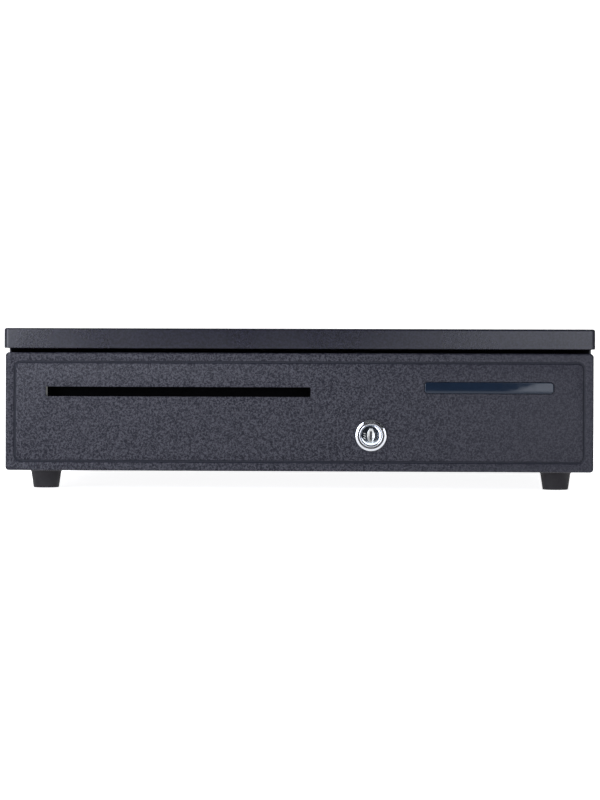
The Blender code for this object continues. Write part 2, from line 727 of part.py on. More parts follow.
def name_plate(drawer, finish):
    """A blank glossy strip that lies in the front's pocket."""
    length = POCKET_LENGTH - 2 * PLATE_CLEARANCE
    height = POCKET_HEIGHT - 2 * PLATE_CLEARANCE
    corner = POCKET_CORNER - PLATE_CLEARANCE / 2
    bevel = 0.0002
    face = FACE_Y - 0.0001
    rings = [
        (rounded(length, height, corner), FACE_Y + POCKET_DEPTH - SEAT),
        (rounded(length, height, corner), face + bevel),
        (rounded(length - 2 * bevel, height - 2 * bevel, corner - bevel), face),
    ]
    piece("name_plate", lofted(rings, "Y"), finish, drawer, at=(POCKET_X, 0, POCKET_Z))


def slot_hood(drawer, finish):
    """A hood behind the slot that turns slips of paper down and hides the drawer's contents."""
    wall = 0.0015
    front = DRAWER_FRONT_Y + SHEET + SEAT
    depth, tail = 0.016, 0.020
    top = SLOT_Z + SLOT_HEIGHT / 2 + 0.003
    bottom = SLOT_Z - SLOT_HEIGHT / 2 - tail
    outline = [
        (front, top + 0.006),
        (front + wall, top + 0.006),
        (front + wall, top + wall),
        (front + depth, top - 0.002),
        (front + depth + 0.004, bottom),
        (front + depth + 0.004 - wall, bottom),
        (front + depth - wall, top - 0.002 - wall),
        (front, top),
    ]
    half = SLOT_LENGTH / 2 + 0.0025
    hood = piece("slot_hood", prism(outline, "X", -half, half), finish, drawer, at=(SLOT_X, 0, 0))
    cheek = [
        (front, top + 0.001),
        (front + depth - 0.0006, top - 0.0026),
        (front + depth + 0.0032, bottom + 0.001),
        (front, bottom + 0.001),
    ]
    for side in (-1, 1):
        fuse(hood, prism(cheek, "X", *sorted((side * (half - 0.0003), side * (half - wall)))))


def striker(drawer, finish):
    """The catch on the drawer's back: an arm with a turned-down tab that the latch hooks."""
    wall = 0.0015
    low = LATCH_LOW - 0.002
    arm = LATCH_HIGH + 0.003
    back = DRAWER_REAR_Y + SEAT
    tab_y = LATCH_Y - 0.024
    outline = [
        (back, LATCH_LOW - 0.001),
        (back + wall, LATCH_LOW - 0.001),
        (back + wall, arm),
        (tab_y, arm),
        (tab_y, low),
        (tab_y + wall, low),
        (tab_y + wall, arm + wall),
        (back + wall, arm + wall),
        (back + wall, arm + 0.012),
        (back, arm + 0.012),
    ]
    piece("striker", prism(outline, "X", -0.0215, -0.0075), finish, drawer)


# ---------------------------------------------------------------- lock


def lock(drawer, chrome, steel, zinc):
    front = (LOCK_X, FACE_Y, LOCK_Z)
    body = [
        (LOCK_BORE, -LOCK_PROUD + 0.0006),
        (LOCK_BORE + 0.0007, -LOCK_PROUD),
        (LOCK_RING - 0.0019, -LOCK_PROUD),
        (LOCK_RING - 0.0003, -0.0012),
        (LOCK_RING, -0.0007),
        (LOCK_RING, -SEAT),
        (LOCK_BARREL, -SEAT),
        (LOCK_BARREL, LOCK_LENGTH),
        (LOCK_BORE, LOCK_LENGTH),
    ]
    piece("lock_body", turned(body, "Y", closed=True), chrome, drawer, at=front)

    nut_front = FRONT_SHEET + SEAT + SHEET + SEAT
    corner = LOCK_NUT_FLATS / math.sqrt(3)
    nut = prism(circle(corner, 6), "Y", nut_front, nut_front + LOCK_NUT_THICKNESS)
    nut_piece = piece("lock_nut", nut, zinc, drawer, at=front)
    thread = circle(LOCK_BARREL + SHAFT_GAP, 24)
    cut(nut_piece, prism(thread, "Y", nut_front - 0.002, nut_front + LOCK_NUT_THICKNESS + 0.002))

    turning = group("lock_axis", drawer, front)
    stud_end = CAM_AT + CAM_THICKNESS + 0.0003
    screw_bore = 0.0018
    plug_profile = [
        (0, -LOCK_PROUD + 0.0010),
        (PLUG_RADIUS - 0.0012, -LOCK_PROUD + 0.0010),
        (PLUG_RADIUS, -LOCK_PROUD + 0.0016),
        (PLUG_RADIUS, LOCK_LENGTH + SEAT),
        (STUD_RADIUS, LOCK_LENGTH + SEAT),
        (STUD_RADIUS, stud_end),
        (screw_bore, stud_end),
        (screw_bore, LOCK_LENGTH - 0.005),
        (0, LOCK_LENGTH - 0.005),
    ]
    plug = piece("lock_plug", turned(plug_profile, "Y"), chrome, turning, at=front)
    cut(plug, box((-0.0008, 0.0008), (-LOCK_PROUD - 0.001, 0.013), (-0.0029, 0.0029)))

    reach, half = BOLT_REACH, BOLT_HALF_WIDTH
    arm_end = DRIVE_RADIUS + DRIVE_PIN_RADIUS + 0.0013
    outline = [(-reach, half), (-reach, -half), (-0.0052, -half), (-0.0036, -arm_end)]
    outline += [(0.0036, -arm_end), (0.0052, -half), *arc((0, 0), 0.0065, 0, 90, 6)]
    outline.append((-half, half))
    cam = piece("lock_cam", prism(outline, "Y", CAM_AT, CAM_AT + CAM_THICKNESS), steel, turning, at=front)
    hole = circle(STUD_RADIUS + SHAFT_GAP, 16)
    cut(cam, prism(hole, "Y", CAM_AT - 0.001, CAM_AT + CAM_THICKNESS + 0.001))
    drive_end = YOKE_AT + YOKE_THICKNESS + 0.0018
    drive_pin = circle(DRIVE_PIN_RADIUS, 12, (0, -DRIVE_RADIUS))
    fuse(cam, prism(drive_pin, "Y", CAM_AT + CAM_THICKNESS / 2, drive_end))

    head_at = stud_end + SEAT
    screw = [
        (0, LOCK_LENGTH - 0.004),
        (screw_bore - SHAFT_GAP, LOCK_LENGTH - 0.004),
        (screw_bore - SHAFT_GAP, head_at),
        (0.0038, head_at),
        (0.0038, head_at + 0.0012),
        (0.0025, head_at + 0.0020),
        (0, head_at + 0.0020),
    ]
    piece("lock_cam_screw", turned(screw, "Y", sides=12), zinc, turning, at=front)


def release_lever(drawer, steel, zinc):
    """A flat lever under the till. Its yoke follows the lock, and its rear tab draws the latch back."""
    pivot = Vector((*LEVER_PIVOT, 0))
    turning = group("release_lever_axis", drawer, pivot)
    ahead = (LEVER_TIP - LEVER_FRONT).normalized()
    across = Vector((-ahead.y, ahead.x))
    front_half, rear_half = 0.007, 0.004
    corners = [
        LEVER_FRONT + across * front_half,
        LEVER_FRONT - across * front_half,
        LEVER_TIP - across * rear_half,
        LEVER_TIP + across * rear_half,
    ]
    outline = [tuple(corner - LEVER_PIVOT) for corner in corners]
    bar = prism(outline, "Z", LEVER_LOW, LEVER_HIGH)
    lever = piece("release_lever", bar, steel, turning, at=pivot)
    fuse(lever, prism(circle(0.011, 20), "Z", LEVER_LOW, LEVER_HIGH))

    yoke_half = 0.008
    yoke = LEVER_FRONT - LEVER_PIVOT
    yoke_y = (yoke.y - YOKE_THICKNESS / 2, yoke.y + YOKE_THICKNESS / 2)
    slot_low = LOCK_Z - DRIVE_RADIUS - DRIVE_PIN_RADIUS - 0.0008
    slot_high = LOCK_Z + DRIVE_PIN_RADIUS + 0.0008
    fuse(
        lever,
        box((yoke.x - yoke_half, yoke.x + yoke_half), yoke_y, (LEVER_LOW + 0.0005, slot_high + 0.004)),
    )
    # The slot is wide because one fixed ratio stands for the pin's sine motion.
    slot_half = DRIVE_PIN_RADIUS + 0.21 * DRIVE_RADIUS + 0.0006
    cut(
        lever,
        box(
            (yoke.x - slot_half, yoke.x + slot_half),
            (yoke_y[0] - 0.001, yoke_y[1] + 0.001),
            (slot_low, slot_high),
        ),
    )
    tip = LEVER_TIP - LEVER_PIVOT
    tab = box(
        (tip.x - 0.0015, tip.x + 0.0015),
        (tip.y - 0.003, tip.y + 0.0015),
        (LEVER_LOW + 0.0005, LATCH_HIGH - 0.0005),
    )
    fuse(lever, tab)
    rivet_hole = circle(0.003 + SHAFT_GAP, 16)
    cut(lever, prism(rivet_hole, "Z", LEVER_LOW - 0.001, LEVER_HIGH + 0.001))

    rivet = [
        (0, DRAWER_BOTTOM + 0.0001),
        (0.0023, DRAWER_BOTTOM + 0.0001),
        (0.0023, DRAWER_FLOOR + SEAT),
        (0.0050, DRAWER_FLOOR + SEAT),
        (0.0050, LEVER_LOW - 0.0002),
        (0.0030, LEVER_LOW - 0.0002),
        (0.0030, LEVER_HIGH + 0.0002),
        (0.0055, LEVER_HIGH + 0.0002),
        (0.0050, LEVER_HIGH + 0.0011),
        (0, LEVER_HIGH + 0.0011),
    ]
    piece("release_lever_rivet", turned(rivet, "Z", sides=16), zinc, drawer, at=pivot)


# ---------------------------------------------------------------- latch, solenoid, ejector, switch


def latch(case, steel, zinc):
    low = FLOOR_TOP + SEAT
    plate = box((-0.026, 0.098), (DRAWER_REAR_Y + 0.004, LATCH_Y + 0.0065), (low, BRACKET_TOP))
    bracket = piece("latch_bracket", plate, steel, case)
    hole = circle(0.0023 + SHAFT_GAP, 16, (0, LATCH_Y))
    cut(bracket, prism(hole, "Z", low - 0.001, BRACKET_TOP + 0.001))

    pivot = (0, LATCH_Y, 0)
    pin = [
        (0, low + 0.0001),
        (0.0023, low + 0.0001),
        (0.0023, BRACKET_TOP + SEAT),
        (0.0050, BRACKET_TOP + SEAT),
        (0.0050, LATCH_LOW - SEAT),
        (0.0030, LATCH_LOW - SEAT),
        (0.0030, LATCH_HIGH + SEAT),
        (0.0052, LATCH_HIGH + SEAT),
        (0.0048, LATCH_HIGH + 0.0017),
        (0, LATCH_HIGH + 0.0017),
    ]
    piece("latch_pivot", turned(pin, "Z", sides=16), zinc, case, at=pivot)

    turning = group("latch_axis", case, pivot)
    left, right, hub, nose = -0.003, 0.004, 0.007, -0.009
    start = math.degrees(math.atan2(-math.sqrt(hub**2 - left**2), left)) + 360
    end = -math.degrees(math.acos(right / hub))
    outline = [
        (right, LATCH_TIP_Y),
        (-0.002, LATCH_TIP_Y),
        (nose, LATCH_TIP_Y + 0.0035),
        (nose, LATCH_NOSE_Y),
        (left, LATCH_NOSE_Y),
        *arc((0, 0), hub, start, end, 12),
    ]
    lever = piece(
        "latch_lever",
        prism(outline, "Z", LATCH_LOW, LATCH_HIGH),
        steel,
        turning,
        at=pivot,
        turn=(0, 0, LATCH_REST),
    )
    thickness = (LATCH_LOW - 0.001, LATCH_HIGH + 0.001)
    pivot_hole = prism(circle(0.003 + SHAFT_GAP, 16), "Z", *thickness)
    drive = box((-0.0020, 0.0020), (-LATCH_ARM - 0.0024, -LATCH_ARM + 0.0024), thickness)
    cut(lever, several(pivot_hole, drive))


def solenoid(case, steel, wound, zinc):
    """An open-frame solenoid. Its plunger draws the latch lever towards +X."""
    y = LATCH_Y - LATCH_ARM
    wall = 0.0015
    left = SPRING_SEAT_X
    right = COIL_X + COIL_LENGTH + SEAT + wall
    low = BRACKET_TOP + SEAT
    top = PLUNGER_Z + COIL_RADIUS + 0.003
    outline = [
        (left, low),
        (right, low),
        (right, top),
        (right - wall, top),
        (right - wall, low + wall),
        (left + wall, low + wall),
        (left + wall, top),
        (left, top),
    ]
    frame = piece("solenoid_frame", prism(outline, "Y", y - 0.0125, y + 0.0125), steel, case)
    mouth = circle(PLUNGER_RADIUS + 0.0006, 20, (y, PLUNGER_Z))
    cut(frame, prism(mouth, "X", left - 0.001, left + 2 * wall))

    flange, flange_thickness = COIL_RADIUS + 0.001, 0.0012
    bore = PLUNGER_RADIUS + 0.0004
    winding = COIL_RADIUS - 0.0008
    profile = [
        (bore, 0),
        (flange, 0),
        (flange, flange_thickness),
        (winding, flange_thickness),
        (winding, COIL_LENGTH - flange_thickness),
        (flange, COIL_LENGTH - flange_thickness),
        (flange, COIL_LENGTH),
        (bore, COIL_LENGTH),
    ]
    place = (COIL_X, y, PLUNGER_Z)
    piece("solenoid_coil", turned(profile, "X", sides=20, closed=True), wound, case, at=place)

    pin_x = LATCH_ARM * math.sin(LATCH_REST)
    sliding = group("plunger_axis", case, (pin_x, y, PLUNGER_Z))
    collar, collar_at = 0.0063, COLLAR_AT
    rod = [
        (0, -0.0035),
        (PLUNGER_RADIUS - 0.0005, -0.0035),
        (PLUNGER_RADIUS, -0.0030),
        (PLUNGER_RADIUS, collar_at - 0.002),
        (collar, collar_at - 0.002),
        (collar, collar_at),
        (PLUNGER_RADIUS, collar_at),
        (PLUNGER_RADIUS, 0.040),
        (0, 0.042),
    ]
    plunger = piece("solenoid_plunger", turned(rod, "X", sides=16), zinc, sliding, at=(pin_x, y, PLUNGER_Z))
    pin_end = LATCH_LOW - 0.0008 - PLUNGER_Z
    fuse(plunger, prism(circle(0.0016, 12), "Z", pin_end, -0.001))

    start = pin_x + collar_at + SEAT
    length = SPRING_SEAT_X - SEAT - start
    spring = coil(PLUNGER_RADIUS + 0.0012, 0.0004, length, 6, "X", steps=10)
    piece("plunger_spring", spring, zinc, case, at=(start, y, PLUNGER_Z))


def ejector(case, steel, plastic, zinc):
    """A sprung pusher that throws the drawer open when the latch lets go."""
    wall = 0.0015
    low = FLOOR_TOP + SEAT
    outline = [
        (EJECTOR_PLATE_Y, low),
        (EJECTOR_PLATE_Y + 0.015, low),
        (EJECTOR_PLATE_Y + 0.015, low + wall),
        (EJECTOR_PLATE_Y + wall, low + wall),
        (EJECTOR_PLATE_Y + wall, EJECTOR_Z + 0.014),
        (EJECTOR_PLATE_Y, EJECTOR_Z + 0.014),
    ]
    bracket = piece(
        "ejector_bracket", prism(outline, "X", -0.012, 0.012), steel, case, at=(EJECTOR_X, 0, 0)
    )
    stem_hole = circle(EJECTOR_STEM + SHAFT_GAP, 16, (0, EJECTOR_Z))
    cut(bracket, prism(stem_hole, "Y", EJECTOR_PLATE_Y - 0.001, EJECTOR_PLATE_Y + 2 * wall))

    place = (EJECTOR_X, DRAWER_REAR_Y + 2 * SEAT, EJECTOR_Z)
    sliding = group("ejector_axis", case, place)
    groove = EJECTOR_LENGTH - 0.003
    profile = [
        (0, 0),
        (EJECTOR_HEAD - 0.001, 0),
        (EJECTOR_HEAD, 0.001),
        (EJECTOR_HEAD, EJECTOR_HEAD_THICKNESS),
        (EJECTOR_STEM, EJECTOR_HEAD_THICKNESS),
        (EJECTOR_STEM, groove),
        (EJECTOR_STEM - 0.0008, groove),
        (EJECTOR_STEM - 0.0008, groove + 0.0012),
        (EJECTOR_STEM, groove + 0.0012),
        (EJECTOR_STEM - 0.0005, EJECTOR_LENGTH),
        (0, EJECTOR_LENGTH),
    ]
    piece("ejector_pusher", turned(profile, "Y", sides=20), plastic, sliding, at=place)
    clip = prism(circle(0.0055, 16), "Y", groove + 0.0003, groove + 0.0009)
    clip_piece = piece("ejector_clip", clip, zinc, sliding, at=place)
    inner = circle(EJECTOR_STEM - 0.0005, 12)
    cut(clip_piece, prism(inner, "Y", groove - 0.001, groove + 0.002))

    start = place[1] + EJECTOR_HEAD_THICKNESS + SEAT
    length = EJECTOR_PLATE_Y - SEAT - start
    spring = coil(0.0075, 0.0007, length, 6, "Y", steps=14)
    piece("ejector_spring", spring, zinc, case, at=(EJECTOR_X, start, EJECTOR_Z))


def microswitch(case, plastic, zinc):
    """It tells the till that the drawer is open. Its leaf rests on the drawer's back."""
    x, (width, depth, height) = SWITCH_X, SWITCH_SIZE
    low = BRACKET_TOP + SEAT
    body = box((x, x + width), (SWITCH_Y, SWITCH_Y + depth), (low, low + height))
    switch = piece("microswitch", body, plastic, case)
    holes = [
        prism(circle(0.0015, 12, (x + at, SWITCH_Y + 0.0125)), "Z", low - 0.001, low + height + 0.001)
        for at in (0.0030, 0.0250)
    ]
    cut(switch, several(*holes))

    hinge = (x + 0.003, SWITCH_Y - 0.0011, low + 0.0028)
    turning = group("switch_leaf_axis", case, hinge)
    length, thickness, tall = 0.024, 0.0005, 0.005
    drop = hinge[1] - (DRAWER_REAR_Y + SEAT) - 0.0004
    tilt = math.asin(drop / length)
    hub = arc((0, 0), 0.0008, 60, 300, 6)
    outline = hub + [(length, -thickness / 2), (length, thickness / 2)]
    piece(
        "microswitch_leaf",
        prism(outline, "Z", 0, tall),
        zinc,
        turning,
        at=hinge,
        turn=(0, 0, -tilt),
    )


def socket_and_leads(case, plastic, cable):
    """A six-way modular socket in the back panel, and the leads clipped to the floor inside."""
    half = SOCKET_HALF
    inner_y = CASE_REAR_Y - 0.018
    body = box((-half, half), (inner_y, CASE_REAR_Y + 0.0006), (-half, half))
    socket = piece("cable_socket", body, plastic, case, at=(SOCKET_X, 0, SOCKET_Z))
    rim = half + 0.0015
    fuse(
        socket,
        box((-rim, rim), (CASE_REAR_Y + SEAT, CASE_REAR_Y + 0.0013), (-rim, rim)),
    )
    mouth = box((-0.0048, 0.0048), (CASE_REAR_Y - 0.012, CASE_REAR_Y + 0.003), (-0.0040, 0.0026))
    cut(socket, mouth)
    key = box((-0.0016, 0.0016), (CASE_REAR_Y - 0.006, CASE_REAR_Y + 0.003), (-0.0056, -0.0038))
    cut(socket, key)

    radius = 0.0013
    floor = FLOOR_TOP + SEAT + radius
    back = CASE_REAR_Y - 0.0135
    coil_end = COIL_X + COIL_LENGTH + SEAT + 0.0015 + SEAT
    coil_y = LATCH_Y - LATCH_ARM + 0.003
    switch_end = SWITCH_Y + SWITCH_SIZE[1] + SEAT
    switch_z = BRACKET_TOP + SEAT + SWITCH_SIZE[2] / 2
    inlet = inner_y - SEAT
    lead(
        case,
        "solenoid_lead",
        radius,
        cable,
        [
            (SOCKET_X + 0.003, inlet, SOCKET_Z),
            (SOCKET_X + 0.003, inlet - 0.003, SOCKET_Z),
            (SOCKET_X + 0.003, inlet - 0.008, SOCKET_Z - 0.004),
            (SOCKET_X - 0.002, back - 0.006, floor + 0.006),
            (SOCKET_X - 0.012, back + 0.001, floor),
            (SWITCH_X + 0.032, back + 0.002, floor + 0.004),
            (SWITCH_X + 0.014, back + 0.001, floor + 0.009),
            (coil_end + 0.010, back - 0.006, floor + 0.016),
            (coil_end + 0.006, coil_y, floor + 0.019),
            (coil_end, coil_y, floor + 0.019),
        ],
    )
    lead(
        case,
        "switch_lead",
        radius,
        cable,
        [
            (SOCKET_X - 0.003, inlet, SOCKET_Z),
            (SOCKET_X - 0.003, inlet - 0.003, SOCKET_Z),
            (SOCKET_X - 0.003, inlet - 0.009, SOCKET_Z - 0.003),
            (SOCKET_X - 0.006, back - 0.016, floor + 0.010),
            (SOCKET_X - 0.013, back - 0.015, floor + 0.004),
            (SWITCH_X + 0.031, back - 0.013, switch_z),
            (SWITCH_X + 0.019, back - 0.010, switch_z),
            (SWITCH_X + 0.014, back - 0.012, switch_z),
            (SWITCH_X + 0.014, switch_end, switch_z),
        ],
    )


def lead(case, name, radius, finish, route):
    """A cable along a smooth curve through the route's points."""
    points = [Vector(p) for p in route]
    ends = [2 * points[0] - points[1], *points, 2 * points[-1] - points[-2]]
    path = []
    steps = 5
    for a, b, c, d in zip(ends, ends[1:], ends[2:], ends[3:]):
        for i in range(steps):
            t = i / steps
            square, cube = 2 * a - 5 * b + 4 * c - d, 3 * b - a - 3 * c + d
            path.append((2 * b + (c - a) * t + square * t**2 + cube * t**3) / 2)
    path.append(points[-1])
    piece(name, swept(path, radius, 8), finish, case)


# ---------------------------------------------------------------- till


def note_centres():
    first = -(NOTE_COUNT - 1) / 2 * NOTE_PITCH
    return [first + i * NOTE_PITCH for i in range(NOTE_COUNT)]


def till_tray(drawer, finish):
    """The removable moulding: note compartments behind, a well for the coin tray in front."""
    outer = box((-TILL_HALF, TILL_HALF), (TILL_FRONT_Y, TILL_REAR_Y), (TILL_BOTTOM, TILL_TOP))
    till = piece("till_tray", outer, finish, drawer)
    above = TILL_TOP + 0.01
    half = NOTE_WIDTH / 2
    notes = [
        box((x - half, x + half), (NOTE_FRONT_Y, NOTE_REAR_Y), (TILL_FLOOR, above))
        for x in note_centres()
    ]
    well = box(
        (-TILL_HALF + TILL_WALL, TILL_HALF - TILL_WALL), (WELL_FRONT_Y, WELL_REAR_Y), (TILL_FLOOR, above)
    )
    cut(till, several(*notes, well))
    rebate = box(
        (-TILL_HALF + TILL_WALL / 2, TILL_HALF - TILL_WALL / 2),
        (WELL_FRONT_Y - LEDGE, WELL_REAR_Y + LEDGE),
        (TILL_TOP - LEDGE - SEAT, above),
    )
    cut(till, rebate)
    leg, inset = 0.014, 0.001
    for side in (-1, 1):
        for y in (TILL_FRONT_Y + inset, TILL_REAR_Y - inset - leg):
            x = sorted((side * (TILL_HALF - inset), side * (TILL_HALF - inset - leg)))
            fuse(till, box(x, (y, y + leg), (DRAWER_FLOOR + SEAT, TILL_BOTTOM + TILL_WALL / 2)))
    socket = prism(
        circle(CLIP_SHAFT_RADIUS + SHAFT_GAP, 12, (CLIP_Y, CLIP_Z)),
        "X",
        -TILL_HALF + TILL_WALL / 2,
        TILL_HALF - TILL_WALL / 2,
    )
    cut(till, socket)


def scoop(y, radii, bottom, top, grow=0.0):
    """The outline of one coin cup along Y, round at the bottom, grown outwards by grow."""
    near, far = radii
    points = [(y[0] - grow, top)]
    points += arc((y[0] + near, bottom + near), near + grow, 180, 270, 6)
    points += arc((y[1] - far, bottom + far), far + grow, 270, 360, 4)
    points.append((y[1] + grow, top))
    return points


def coin_tray(drawer, finish):
    """The lift-out coin tray: two rows of round-bottomed cups, hung by its lips in the till's well."""
    top = TILL_TOP - 0.0002
    wall = 0.0018
    front = WELL_FRONT_Y + COIN_PLAY
    rear = WELL_REAR_Y - COIN_PLAY
    half = TILL_HALF - TILL_WALL - COIN_PLAY
    bottom = TILL_FLOOR + 0.001 + wall
    radii = (0.028, 0.014)
    pitch_y = (rear - front - 2 * wall + COIN_WALL) / COIN_ROWS
    rows = [
        (front + wall + i * pitch_y, front + wall + (i + 1) * pitch_y - COIN_WALL) for i in range(COIN_ROWS)
    ]
    under = []
    for i, row in enumerate(rows):
        skin = scoop(row, radii, bottom, top, wall)[1:-1]
        low_y = front if i == 0 else row[0] - COIN_WALL / 2
        high_y = rear if i == COIN_ROWS - 1 else row[1] + COIN_WALL / 2
        inside = [(y, z) for y, z in skin if low_y < y < high_y]
        under += [
            (low_y, edge_height(row[0] + radii[0], radii[0] + wall, low_y, bottom + radii[0])),
            *inside,
            (high_y, edge_height(row[1] - radii[1], radii[1] + wall, high_y, bottom + radii[1])),
        ]
    lip = LEDGE - COIN_PLAY
    outline = [
        (front - lip, top),
        (front - lip, top - LEDGE + SEAT),
        (front, top - LEDGE + SEAT),
        *under,
        (rear, top - LEDGE + SEAT),
        (rear + lip, top - LEDGE + SEAT),
        (rear + lip, top),
    ]
    tray = piece("coin_tray", prism(outline, "X", -half, half), finish, drawer)
    pitch_x = (2 * half - 2 * wall + COIN_WALL) / COIN_COLUMNS
    cups = []
    for column in range(COIN_COLUMNS):
        x = -half + wall + column * pitch_x
        for row in rows:
            cups.append(prism(scoop(row, radii, bottom, top + 0.005), "X", x, x + pitch_x - COIN_WALL))
    cut(tray, several(*cups))


def edge_height(centre, radius, y, centre_z):
    """Height at which a round underside of this radius meets the plane y, below its centre."""
    return centre_z - math.sqrt(max(radius**2 - (y - centre) ** 2, 0))


def clip_shape(finish, parent):
    """The mesh that the note clips share, drawn level with its shaft along X."""
    knuckle = CLIP_SPRING_ROOM / 2
    half, tip = CLIP_WIDTH / 2, CLIP_TIP_WIDTH / 2
    end = -CLIP_LENGTH
    outline = [
        (half, 0),
        (half, -0.020),
        (tip, end + 0.010),
        (tip, end),
        (-tip, end),
        (-tip, end + 0.010),
        (-half, -0.020),
        (-half, 0),
        (-knuckle, 0),
        (-knuckle, -0.010),
        (knuckle, -0.010),
        (knuckle, 0),
    ]
    thick = CLIP_THICKNESS / 2
    clip = piece("clip_pattern", prism(outline, "Z", -thick, thick), finish, parent)
    for side in (-1, 1):
        fuse(clip, prism(circle(CLIP_HUB, 16), "X", *sorted((side * knuckle, side * half))))
    lift = [
        (end + 0.004, -thick + 0.0003),
        (end + 0.004, thick - 0.0003),
        (end - 0.004, thick + 0.0065),
        (end - 0.006, thick + 0.0055),
        (end - CLIP_TOE, -thick + 0.0003),
    ]
    fuse(clip, prism(lift, "X", -tip + 0.0005, tip - 0.0005))
    bore = circle(CLIP_SHAFT_RADIUS + SHAFT_GAP, 12)
    cut(clip, prism(bore, "X", -half - 0.001, half + 0.001))
    bpy.context.view_layer.update()
    shape = bpy.data.meshes.new_from_object(clip.evaluated_get(bpy.context.evaluated_depsgraph_get()))
    for helper in clip.children:
        bpy.data.objects.remove(helper)
    bpy.data.objects.remove(clip)
    shape.name = "bill_clip"
    return shape


def note_clips(drawer, plastic, zinc):
    reach = TILL_HALF - TILL_WALL / 2 - SEAT
    shaft = prism(circle(CLIP_SHAFT_RADIUS, 12), "X", -reach, reach)
    piece("clip_shaft", shaft, zinc, drawer, at=(0, CLIP_Y, CLIP_Z))
    shape = clip_shape(plastic, drawer)
    spring_length = CLIP_SPRING_ROOM - 2 * SEAT - 0.003
    spring_shape = None
    for i, x in enumerate(note_centres(), start=1):
        axis = (x, CLIP_Y, CLIP_Z)
        turning = group(f"bill_clip_{i}_axis", drawer, axis)
        piece(f"bill_clip_{i}", shape, plastic, turning, at=axis, turn=(CLIP_ANGLE, 0, 0))
        mesh = spring_shape or coil(0.0033, 0.0005, spring_length, 4.25, "X", steps=10, sides=4)
        start = (x - spring_length / 2, CLIP_Y, CLIP_Z)
        spring = piece(f"clip_spring_{i}", mesh, zinc, drawer, at=start)
        spring_shape = spring.data


# ---------------------------------------------------------------- the whole drawer


def main():
    for old in list(bpy.data.objects):
        bpy.data.objects.remove(old)
    coat = material("black_powder_coat", (0.040, 0.040, 0.048), 0.42)
    front_coat = material("wrinkle_powder_coat", (0.045, 0.045, 0.055), 0.50)
    steel = material("zinc_plated_steel", (0.62, 0.63, 0.64), 0.35, 1.0)
    zinc = material("bright_zinc", (0.75, 0.76, 0.78), 0.25, 1.0)
    chrome = material("chrome", (0.88, 0.89, 0.92), 0.08, 1.0)
    rubber = material("rubber", (0.025, 0.025, 0.028), 0.75)
    plastic = material("black_abs", (0.030, 0.030, 0.034), 0.45)
    gloss = material("gloss_navy", (0.008, 0.014, 0.032), 0.08)
    nylon = material("white_nylon", (0.80, 0.80, 0.76), 0.40)
    wound = material("coil_tape", (0.55, 0.32, 0.05), 0.45)
    cable = material("grey_cable", (0.10, 0.10, 0.11), 0.55)

    case = group("case")
    drawer = group("drawer", case, (0, DRAWER_REAR_Y, ROLLER_Z))

    base_pan(case, coat)
    back_panel(case, coat)
    top_cover(case, coat)
    feet(case, rubber)
    runners(case, drawer, steel, zinc, nylon)
    latch(case, steel, zinc)
    solenoid(case, steel, wound, zinc)
    ejector(case, steel, plastic, zinc)
    microswitch(case, plastic, zinc)
    socket_and_leads(case, plastic, cable)

    drawer_box(drawer, coat)
    front_panel(drawer, front_coat)
    name_plate(drawer, gloss)
    slot_hood(drawer, plastic)
    striker(drawer, steel)
    lock(drawer, chrome, steel, zinc)
    release_lever(drawer, steel, zinc)
    till_tray(drawer, plastic)
    coin_tray(drawer, plastic)
    note_clips(drawer, plastic, zinc)


main()
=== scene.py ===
"""The looks of the cash drawer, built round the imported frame."""

import json
import math

import bmesh
import bpy
from mathutils import Matrix, Vector


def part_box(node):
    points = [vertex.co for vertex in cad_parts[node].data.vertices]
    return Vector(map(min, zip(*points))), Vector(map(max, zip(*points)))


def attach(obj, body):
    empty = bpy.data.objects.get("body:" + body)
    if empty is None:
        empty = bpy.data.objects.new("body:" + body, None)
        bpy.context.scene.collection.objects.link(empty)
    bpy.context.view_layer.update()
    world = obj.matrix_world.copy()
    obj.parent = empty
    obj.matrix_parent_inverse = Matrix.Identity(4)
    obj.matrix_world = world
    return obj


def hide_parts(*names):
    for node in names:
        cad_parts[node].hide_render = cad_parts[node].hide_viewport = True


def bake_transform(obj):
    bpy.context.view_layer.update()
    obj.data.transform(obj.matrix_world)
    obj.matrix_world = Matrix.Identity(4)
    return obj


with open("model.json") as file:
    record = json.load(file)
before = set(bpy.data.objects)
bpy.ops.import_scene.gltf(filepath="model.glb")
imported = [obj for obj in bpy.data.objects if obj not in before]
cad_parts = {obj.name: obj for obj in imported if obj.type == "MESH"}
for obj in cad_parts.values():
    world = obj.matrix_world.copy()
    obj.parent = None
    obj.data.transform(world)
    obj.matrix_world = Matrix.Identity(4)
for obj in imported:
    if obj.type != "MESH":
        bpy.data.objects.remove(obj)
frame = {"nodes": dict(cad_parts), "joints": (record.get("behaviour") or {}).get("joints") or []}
NODES = frame["nodes"]
JOINTS = {joint["name"]: joint for joint in frame["joints"]}
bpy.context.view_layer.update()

# ---------------------------------------------------------------- places in the frame

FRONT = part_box("front_panel")
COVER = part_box("top_cover")
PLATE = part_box("name_plate")
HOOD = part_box("slot_hood")
LOCK = Vector(JOINTS["lock_turn"]["pos_m"])
FACE_Y = FRONT[0].y
POCKET_MARGIN = 0.0010
HOOD_MARGIN = 0.0025
SLOT_ABOVE_LOCK = 0.02635
SLOT_HEIGHT = 0.0067
POCKET = (
    (PLATE[0].x - POCKET_MARGIN, PLATE[0].z - POCKET_MARGIN),
    (PLATE[1].x + POCKET_MARGIN, PLATE[1].z + POCKET_MARGIN),
)
SLOT = (
    (HOOD[0].x + HOOD_MARGIN, LOCK.z + SLOT_ABOVE_LOCK),
    (HOOD[1].x - HOOD_MARGIN, LOCK.z + SLOT_ABOVE_LOCK + SLOT_HEIGHT),
)

# ---------------------------------------------------------------- camera

